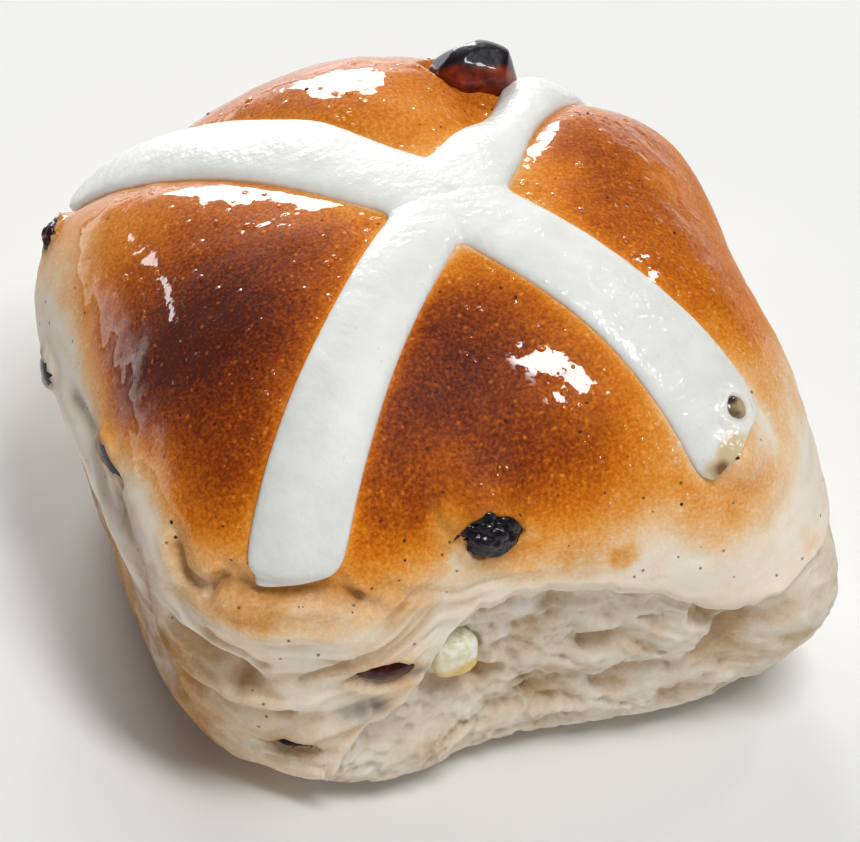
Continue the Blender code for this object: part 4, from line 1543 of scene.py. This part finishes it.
@dataclass
class PasteCross:
    """The piped cross: one band of flour paste in four arms, draped over the dome."""

    form: DoughForm
    offset: np.ndarray
    lift: float = -0.7
    thickness: float = 1.5
    crown: float = 0.75
    rows: int = 22
    columns: int = 6
    end_round: float = 2.2
    end_share: float = 0.62
    limit: float = 0.971
    reach_step: float = 0.1
    lump: tuple = (25.5, -35.9, 42.9)
    # Where the painted shadow in the fold left of the lump lies.
    fold: tuple = (22.4, -36.9, 41.8)

    def tip(self, arm: Arm, following: Arm) -> np.ndarray:
        """Return the plan place where the edges of two neighbouring arms meet."""
        directions = np.radians([arm.direction, following.direction])
        across = np.stack([-np.sin(directions), np.cos(directions)], axis=1)
        return np.array(self.form.crossing) + np.linalg.solve(across, [arm.near, -following.near])

    def arm_points(self, arm: Arm, along: np.ndarray, across: np.ndarray, left: np.ndarray) -> np.ndarray:
        """Return plan places on an arm.

        Args:
            arm: The arm.
            along: Distances from the crossing.
            across: Shares, -1 to 1, of the arm's half width.
            left: Length that is left to the arm's end, over the last of which it narrows.

        Returns:
            The places, x and y last.
        """
        form, direction = self.form, math.radians(arm.direction)
        past = np.maximum(1.0 - left / self.end_round, 0.0)
        narrow = np.sqrt(1.0 - (past * self.end_share) ** 2)
        beside = across * form.half_width(arm, along) * narrow + arm.bow * (along / form.arm_scale) ** 2
        x = form.crossing[0] + along * math.cos(direction) - beside * math.sin(direction)
        y = form.crossing[1] + along * math.sin(direction) + beside * math.cos(direction)
        return np.stack([x, y], axis=-1)

    def arm_reach(self, arm: Arm, across: np.ndarray) -> np.ndarray:
        """Find how far an arm runs before it ends or meets the limit of the plan.

        Args:
            arm: The arm.
            across: Shares, -1 to 1, of its half width.

        Returns:
            The length at each share.
        """
        tries = np.arange(self.form.arm_scale / 2, arm.reach + self.reach_step, self.reach_step)[:, None]
        places = self.arm_points(arm, tries, across[None], np.full_like(tries, self.end_round))
        inside = self.form.outline_share(places[..., 0], places[..., 1]) < self.limit
        return np.where(inside, tries, 0.0).max(axis=0)

    def plan(self) -> list[np.ndarray]:
        """Lay out the cross on the plan.

        Returns:
            Grids of places: a middle patch, then the four arms.
        """
        arms = self.form.arms
        tips = [self.tip(arm, arms[(i + 1) % 4]) for i, arm in enumerate(arms)]
        shares = np.linspace(0.0, 1.0, self.columns + 1)[:, None]
        near, far = tips[3] + (tips[0] - tips[3]) * shares, tips[2] + (tips[1] - tips[2]) * shares
        grids = [near[None] + (far - near)[None] * shares[:, None]]
        for i, arm in enumerate(arms):
            left, right = tips[i], tips[i - 1]
            begin = max(float(self.form.arm_place(arm, *tip)[0]) for tip in (left, right))
            across = 2 * shares[:, 0] - 1
            run = self.arm_reach(arm, across) - begin
            steps = np.sin(np.linspace(0.0, math.pi / 2, self.rows + 1)[1:])
            rows = [right + (left - right) * shares]
            rows += [self.arm_points(arm, begin + run * step, across, run * (1.0 - step)) for step in steps]
            grids.append(np.array(rows))
        return grids

    def build(self) -> bpy.types.Object:
        """Lay out the cross flat, thicken and round it, then drape it over the dome.

        Returns:
            The cross.
        """
        places: list[tuple] = []
        faces: list[tuple] = []
        for grid in self.plan():
            start, wide = len(places), grid.shape[1]
            places += [(x, y, 0.0) for x, y in grid.reshape(-1, 2)]
            for r, c in itertools.product(range(grid.shape[0] - 1), range(wide - 1)):
                corner = start + r * wide + c
                faces.append((corner, corner + 1, corner + wide + 1, corner + wide))
        mesh = bpy.data.meshes.new("paste_cross")
        mesh.from_pydata(places, [], faces)
        piece = bpy.data.objects.new("paste_cross", mesh)
        bpy.context.scene.collection.objects.link(piece)
        deselect_all()
        piece.select_set(True)
        bpy.context.view_layer.objects.active = piece
        bpy.ops.object.mode_set(mode="EDIT")
        bpy.ops.mesh.select_all(action="SELECT")
        bpy.ops.mesh.remove_doubles(threshold=0.01)
        bpy.ops.mesh.normals_make_consistent(inside=False)
        bpy.ops.mesh.extrude_region_move(TRANSFORM_OT_translate={"value": (0, 0, 1)})
        bpy.ops.mesh.select_all(action="SELECT")
        bpy.ops.mesh.normals_make_consistent(inside=False)
        bpy.ops.object.mode_set(mode="OBJECT")
        smooth = piece.modifiers.new("round the edges", "SUBSURF")
        smooth.levels = smooth.render_levels = 3
        bpy.ops.object.modifier_apply(modifier=smooth.name)
        self.drape(piece)
        piece.data.shade_smooth()
        return piece

    def drape(self, piece: bpy.types.Object) -> None:
        """Lay the flat cross over the dome, crowned along its arms and a little uneven.

        Args:
            piece: The flat cross.
        """
        form = self.form
        flat = read_points(piece)
        level = np.clip(flat[:, 2], 0.0, 1.0)
        x, y = flat[:, 0], flat[:, 1]
        plain = np.stack([x, y, form.dome_height(x, y)], axis=1)
        middle = np.zeros_like(x)
        for arm in form.arms:
            along, beside = form.arm_place(arm, x, y)
            share = np.clip(1.0 - (beside / form.half_width(arm, along)) ** 2, 0.0, 1.0)
            middle = np.maximum(middle, share * smooth_step(-2.0, 2.0, along))
        uneven = 0.22 * layered_noise(plain, 7.0, 41)
        height = self.lift + level * (self.thickness + self.crown * middle + uneven)
        rays = form.outward(plain)
        points = form.settle(plain) + rays * height[:, None]
        bedding = Bedding(under=0.8, lip=0.42)
        laid, stain_and_shade = bedding.lay(points.copy(), rays, form, skipped=("raisin_crown", "raisin_front"))
        points = np.where((level > 0.5)[:, None], laid, points)
        # Below the raisin the paste ran thin over a lump of dough; a painted shadow browns the fold to its
        # left.
        from_lump = np.linalg.norm(points - np.array(self.lump), axis=1) + 0.25 * soft_noise(points, 1.2, 43)
        from_painted_shadow = np.linalg.norm(points - np.array(self.fold), axis=1) + 0.3 * soft_noise(points, 1.0, 47)
        thin_and_painted_shadow = 0.6 * smooth_step(3.4, 2.1, from_lump) + 0.75 * smooth_step(2.3, 0.9, from_painted_shadow)
        write_attribute(piece, "stain_and_shade", np.maximum(stain_and_shade * 0.3, thin_and_painted_shadow))
        bare = smooth_step(1.0, -2.0, x) * smooth_step(-10.0, -16.0, y)
        write_attribute(piece, "glaze", 0.6 * (1.0 - bare))
        write_inside(piece, points + self.offset)


@dataclass
class FruitPiece:
    """One raisin or cube of peel, wrinkled, faceted or softened as the real one is."""

    fruit: Fruit
    offset: np.ndarray
    segments: int = 96
    rings: int = 56
    facets: int = 15
    facet_reach: float = 0.9
    facet_sharpness: float = 16.0
    squareness: float = 4.2

    def build(self) -> bpy.types.Object:
        """Shape a sphere into the fruit at its place.

        Returns:
            The fruit.
        """
        fruit = self.fruit
        piece, rays = add_sphere(f"{fruit.node}_flesh", self.segments, self.rings)
        seed = sum(ord(letter) for letter in fruit.node)
        own = rays * self.lengths(rays, seed)[:, None]
        points = (own * np.array(fruit.half_sizes)) @ fruit.axes().T + np.array(fruit.centre)
        if fruit.flesh is Flesh.PEEL:
            rind = smooth_step(0.0, 0.45, -own[:, 2] + 0.25 * own[:, 0] + 0.2 * soft_noise(own, 0.6, 5))
            write_attribute(piece, "rind", rind)
        else:
            crown = fruit.build is Build.FACETED
            # On the crowning raisin the red-brown lower band is painted glow, where light shines through the
            # fruit.
            shown = 0.6 * own[:, 2] + 0.8 * own[:, 1] + 0.1 * soft_noise(own, 0.8, 9)
            low = smooth_step(0.12, -0.22, shown) if crown else fruit.ruddy_and_glow
            write_attribute(piece, "ruddy_and_glow", np.full(len(own), 1.0) * low)
            clear = fruit.amber * smooth_step(0.96, 0.84, own[:, 2] + 0.06 * soft_noise(own, 0.5, 11))
            write_attribute(piece, "amber", clear)
        write_inside(piece, points + self.offset)
        piece.data.shade_smooth()
        return piece

    def lengths(self, rays: np.ndarray, seed: int) -> np.ndarray:
        """Give the fruit its form.

        Args:
            rays: Directions from its middle, one row each.
            seed: Picks one of many forms.

        Returns:
            How far it reaches along each ray, as a share of its half sizes.
        """
        build = self.fruit.build
        if build is Build.CUBED:
            cube = (np.abs(rays) ** self.squareness).sum(axis=1) ** (-1 / self.squareness)
            return cube * (0.95 + 0.07 * layered_noise(rays, 0.6, 7))
        if build is Build.FACETED:
            draws = np.random.default_rng(seed).normal(size=(self.facets, 3))
            normals = draws / np.linalg.norm(draws, axis=1, keepdims=True)
            reach = self.facet_reach / np.maximum(rays @ normals.T, 1e-3)
            length = (reach**-self.facet_sharpness).sum(axis=1) ** (-1 / self.facet_sharpness)
            return np.minimum(length, 1.02) * (1.0 + 0.012 * layered_noise(rays, 0.4, seed))
        if build is Build.PLUMP:
            return 0.97 + 0.03 * layered_noise(rays, 0.8, seed)
        bent = rays + 0.25 * np.stack([soft_noise(rays, 0.7, seed + i) for i in (1, 3, 5)], axis=1)
        drawn_out = bent * np.array([0.7, 1.0, 1.0])
        cell, draw = cell_pattern(drawn_out, 0.72, seed)
        knobs = layered_noise(bent, 0.35, seed + 7, 2)
        creased = np.abs(layered_noise(drawn_out, 0.3, seed + 9, 2))
        folds = (0.14 + 0.16 * draw) * smooth_step(0.1, 0.95, cell) * 1.2
        return 1.06 - folds + 0.05 * knobs - 0.09 * smooth_step(0.25, 0.0, creased)


# Where specks of spice and beads of syrup lie: direction, rise, spread and count.
SPECK_ZONES = (
    (-121, 15, 1, 2), (-62, 21, 8, 3), (-110, 15, 10, 4), (-90, 40, 25, 9), (-150, 35, 20, 7),
    (150, 30, 30, 8), (90, 35, 30, 10), (30, 35, 30, 10), (-30, 35, 20, 3),
)
BEAD_ZONES = (
    (-12, 68, 4, 9), (-32, 49, 4, 9), (-37, 39, 3, 6), (-62, 30, 4, 9), (-62, 21, 3, 3), (-74, 21, 4, 5),
    (-93, 66, 8, 5), (-80, 52, 9, 9), (-70, 37, 5, 6), (-54, 44, 4, 6), (180, 41, 7, 8), (-152, 65, 4, 4),
    (-138, 38, 6, 5), (172, 59, 6, 6), (100, 65, 5, 7), (117, 43, 5, 4), (60, 45, 15, 8), (20, 50, 12, 8),
    (-91, 31, 2.5, 6), (-84, 29, 3, 4),
)


@dataclass
class Sprinkle:
    """Small grains or beads set on the bun's skins, each where a ray from outside first meets one.

    A zone is a direction and a rise, in degrees, seen from the middle of the bun, then a spread and
    a count. Nothing lands on the paste, which is the last of the skins.
    """

    name: str
    skins: tuple
    zones: tuple
    smallest: float
    largest: float
    height: float
    seed: int
    middle: float = 0.022
    subdivisions: int = 3

    def build(self) -> bpy.types.Object:
        """Copy one small grain to its places, each turned to stand on the skin.

        Returns:
            The grains, in one piece.
        """
        deselect_all()
        bpy.ops.mesh.primitive_ico_sphere_add(subdivisions=self.subdivisions, radius=1.0)
        piece = bpy.context.object
        piece.name = self.name
        grain = read_points(piece)
        faces = np.array([tuple(face.vertices) for face in piece.data.polygons])
        draw = np.random.default_rng(self.seed)
        shapes = []
        for zone in self.zones:
            for _ in range(zone[3]):
                found = self.find_place(zone, draw)
                size = self.smallest + (self.largest - self.smallest) * draw.random() ** 2
                wide, deep = draw.uniform(0.8, 1.25), draw.uniform(0.8, 1.25)
                form = grain * size * np.array([wide, deep, self.height])
                if found is not None:
                    spot, turn = found
                    shapes.append(form @ np.array(turn).T * MM + np.array(spot))
        mesh = bpy.data.meshes.new(self.name)
        corners = np.concatenate([faces + i * len(grain) for i in range(len(shapes))])
        mesh.from_pydata(np.concatenate(shapes).tolist(), [], corners.tolist())
        piece.data = mesh
        mesh.shade_smooth()
        return piece

    def find_place(self, zone: tuple, draw: np.random.Generator) -> tuple[Vector, Matrix] | None:
        """Draw a place for a grain.

        Args:
            zone: The zone that it belongs to.
            draw: Where random numbers come from.

        Returns:
            A place on a skin with the turn that stands the grain on it, or None on the paste.
        """
        direction, rise, spread, _ = zone
        height = math.radians(min(rise + draw.uniform(-spread, spread), 89.0))
        turn = math.radians(direction + draw.uniform(-spread, spread) / max(math.cos(height), 0.25))
        ray = Vector((math.cos(turn) * math.cos(height), math.sin(turn) * math.cos(height), math.sin(height)))
        start = ray * 0.1 + Vector((0, 0, self.middle))
        hits = [(skin, *skin.ray_cast(start, -ray)) for skin in self.skins]
        reached = [hit for hit in hits if hit[1]]
        if not reached:
            return None
        first = min(reached, key=lambda hit: (hit[2] - start).length)
        if first[0] is self.skins[-1]:
            return None
        return first[2], first[3].to_track_quat("Z", "Y").to_matrix()

    def match_crust(self, piece: bpy.types.Object) -> None:
        """Give each bead the browning of the crust that it stands on, under full glaze.

        Args:
            piece: The beads.
        """
        skin = self.skins[0]
        crust, beads = read_points(skin), read_points(piece)
        baked = np.empty(len(crust), np.float32)
        skin.data.attributes["bake"].data.foreach_get("value", baked)
        faces = 20 * 4 ** (self.subdivisions - 1)  # of one bead
        each = len(beads) // (len(piece.data.polygons) // faces)
        middles = beads.reshape(-1, each, 3).mean(axis=1)
        nearest = [int(np.argmin(((crust - middle) ** 2).sum(axis=1))) for middle in middles]
        write_attribute(piece, "bake", np.repeat(np.maximum(baked[nearest] - 0.05, 0.0), each))
        write_attribute(piece, "glaze", np.ones(len(beads)))


# ---------------------------------------------------------------- the studio


@dataclass(frozen=True)
class Lamp:
    """A soft box that faces the bun, with its size and distance in metres."""

    name: str
    azimuth: float
    elevation: float
    size: tuple
    power: float
    distance: float
    glints: bool = True

    def hang(self) -> None:
        """Put the lamp in its place."""
        a, e = math.radians(self.azimuth), math.radians(self.elevation)
        ray = Vector((math.cos(a) * math.cos(e), math.sin(a) * math.cos(e), math.sin(e)))
        data = bpy.data.lights.new(self.name, "AREA")
        data.shape = "RECTANGLE"
        data.size, data.size_y = self.size
        data.energy = self.power
        lamp = bpy.data.objects.new(self.name, data)
        lamp.location = ray * self.distance + Vector((0, 0, 0.03))
        lamp.rotation_euler = ray.to_track_quat("Z", "Y").to_euler()
        lamp.visible_glossy = self.glints
        bpy.context.scene.collection.objects.link(lamp)


@dataclass(frozen=True)
class Studio:
    """A plain pale floor, soft light from above and behind, and the camera."""

    turn: float = -18.109
    tilt: float = 42.855
    roll: float = 2.984
    distance: float = 380.0
    focal_share: float = 3.6236
    shift_x: float = 0.00616
    shift_y: float = -0.01773
    target: tuple = (0.0, 0.0, 24.0)
    lamps: tuple = (
        Lamp("overhead_window", -60, 70, (0.11, 0.36), 3.2, 0.7),
        Lamp("back_window", 86, 19, (0.42, 0.4), 6.8, 0.9),
        Lamp("right_pane", 32, 43, (0.08, 0.06), 0.5, 0.8),
        Lamp("left_pane", 131, 21, (0.04, 0.06), 0.075, 0.8),
        Lamp("ceiling_bounce", -30, 70, (0.9, 0.9), 1.4, 0.9, False),
        Lamp("front_fill", -110, 16, (0.8, 0.5), 2.2, 1.0, False),
    )
    world_stops: tuple = (
        (0.0, "#FFFFFF"), (0.05, "#D8DADC"), (0.12, "#6A6C70"), (0.2, "#2C2E30"), (1.0, "#1C1E20"))
    world_front: float = 0.4
    world_back: float = 2.2
    world_bright_side: tuple = (-0.6, 0.8, 0.0)

    def place_camera(self, offset: np.ndarray) -> None:
        """Stand the camera at its angle and give it its lens.

        Args:
            offset: The form frame's origin in the object's frame, in millimetres.
        """
        a, e, r = (math.radians(v) for v in (self.turn, self.tilt, self.roll))
        back = Vector((math.sin(a) * math.cos(e), -math.cos(a) * math.cos(e), math.sin(e)))
        right = (-back).cross(Vector((0, 0, 1))).normalized()
        up = right.cross(-back)
        across = math.cos(r) * right + math.sin(r) * up
        above = -math.sin(r) * right + math.cos(r) * up
        data = bpy.data.cameras.new("camera")
        data.sensor_width = 36.0
        data.lens = 36.0 * self.focal_share
        data.shift_x, data.shift_y = self.shift_x, self.shift_y
        data.clip_start, data.clip_end = 0.01, 20.0
        camera = bpy.data.objects.new("camera", data)
        target = Vector((np.array(self.target) + offset) * MM)
        camera.matrix_world = Matrix.Translation(target + back * self.distance * MM) @ Matrix(
            (across, above, back)).transposed().to_4x4()
        bpy.context.scene.collection.objects.link(camera)
        bpy.context.scene.camera = camera

    def light(self) -> None:
        """Hang the lamps, in a surround that is bright low down behind the bun, and dim above."""
        for lamp in self.lamps:
            lamp.hang()
        world = bpy.data.worlds.new("studio")
        world.use_nodes = True
        tree = world.node_tree
        tree.nodes.clear()
        direction = add_node(tree, "ShaderNodeTexCoord").outputs["Generated"]
        part = add_node(tree, "ShaderNodeSeparateXYZ", {0: direction})
        colour = add_node(tree, "ShaderNodeValToRGB", {0: part.outputs["Z"]}, self.world_stops)
        facing = add_node(tree, "ShaderNodeVectorMath", {
            0: direction, 1: self.world_bright_side}, operation="DOT_PRODUCT").outputs["Value"]
        strength = add_node(tree, "ShaderNodeMapRange", {
            0: facing, 1: 0.0, 2: 0.9, 3: self.world_front, 4: self.world_back})
        background = add_node(tree, "ShaderNodeBackground", {"Color": colour, "Strength": strength})
        add_node(tree, "ShaderNodeOutputWorld", {"Surface": background})
        bpy.context.scene.world = world

    def lay_floor(self) -> None:
        """Lay the plain pale floor."""
        deselect_all()
        bpy.ops.mesh.primitive_plane_add(size=6.0, location=(0, 0, 0))
        floor = bpy.context.object
        floor.name = "floor"
        floor.data.materials.append(PaintedBoard().make())

    def build(self, offset: np.ndarray) -> None:
        """Set up the floor, light and camera.

        Args:
            offset: The form frame's origin in the object's frame, in millimetres.
        """
        self.lay_floor()
        self.light()
        self.place_camera(offset)
        bpy.context.scene.view_settings.view_transform = "Standard"


def dress(piece: bpy.types.Object, material: bpy.types.Material,
          node: str = "") -> bpy.types.Object:
    """Finish a piece, hang it on the root, and hide the solid that it stands for.

    Args:
        piece: The new piece.
        material: What it is finished with.
        node: The solid that it stands for, if it stands for one.

    Returns:
        The piece.
    """
    piece.data.materials.clear()
    piece.data.materials.append(material)
    if node:
        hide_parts(node)
    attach(piece, "root")
    LOG.info("%s: %d faces", piece.name, len(piece.data.polygons))
    return piece


def main() -> None:
    """Build the bun piece by piece, then the studio round it."""
    logging.basicConfig(level=logging.INFO, format="%(message)s")
    form, offset = DoughForm(), form_offset()
    finishes = {Flesh.RAISIN: RaisinSkin().make(), Flesh.PEEL: CandiedPeel().make()}
    crust = GlazedCrust().make()
    skins = (
        dress(Loaf(form, offset).build(), crust, "bun"),
        dress(TornCrumb(form, offset).build(), OpenCrumb().make(), "bun"),
        dress(PasteCross(form, offset).build(), FlourPaste().make(), "cross"),
    )
    for fruit in FRUIT:
        dress(FruitPiece(fruit, offset).build(), finishes[fruit.flesh], fruit.node)
    specks = Sprinkle("spice_specks", skins, SPECK_ZONES, smallest=0.08, largest=0.26, height=0.6, seed=12)
    dress(specks.build(), GroundSpice().make())
    syrup = Sprinkle("glaze_beads", skins, BEAD_ZONES, smallest=0.22, largest=0.55, height=0.42, seed=7)
    beads = syrup.build()
    syrup.match_crust(beads)
    dress(beads, crust)
    Studio().build(offset)


if __name__ == "__main__":
    main()
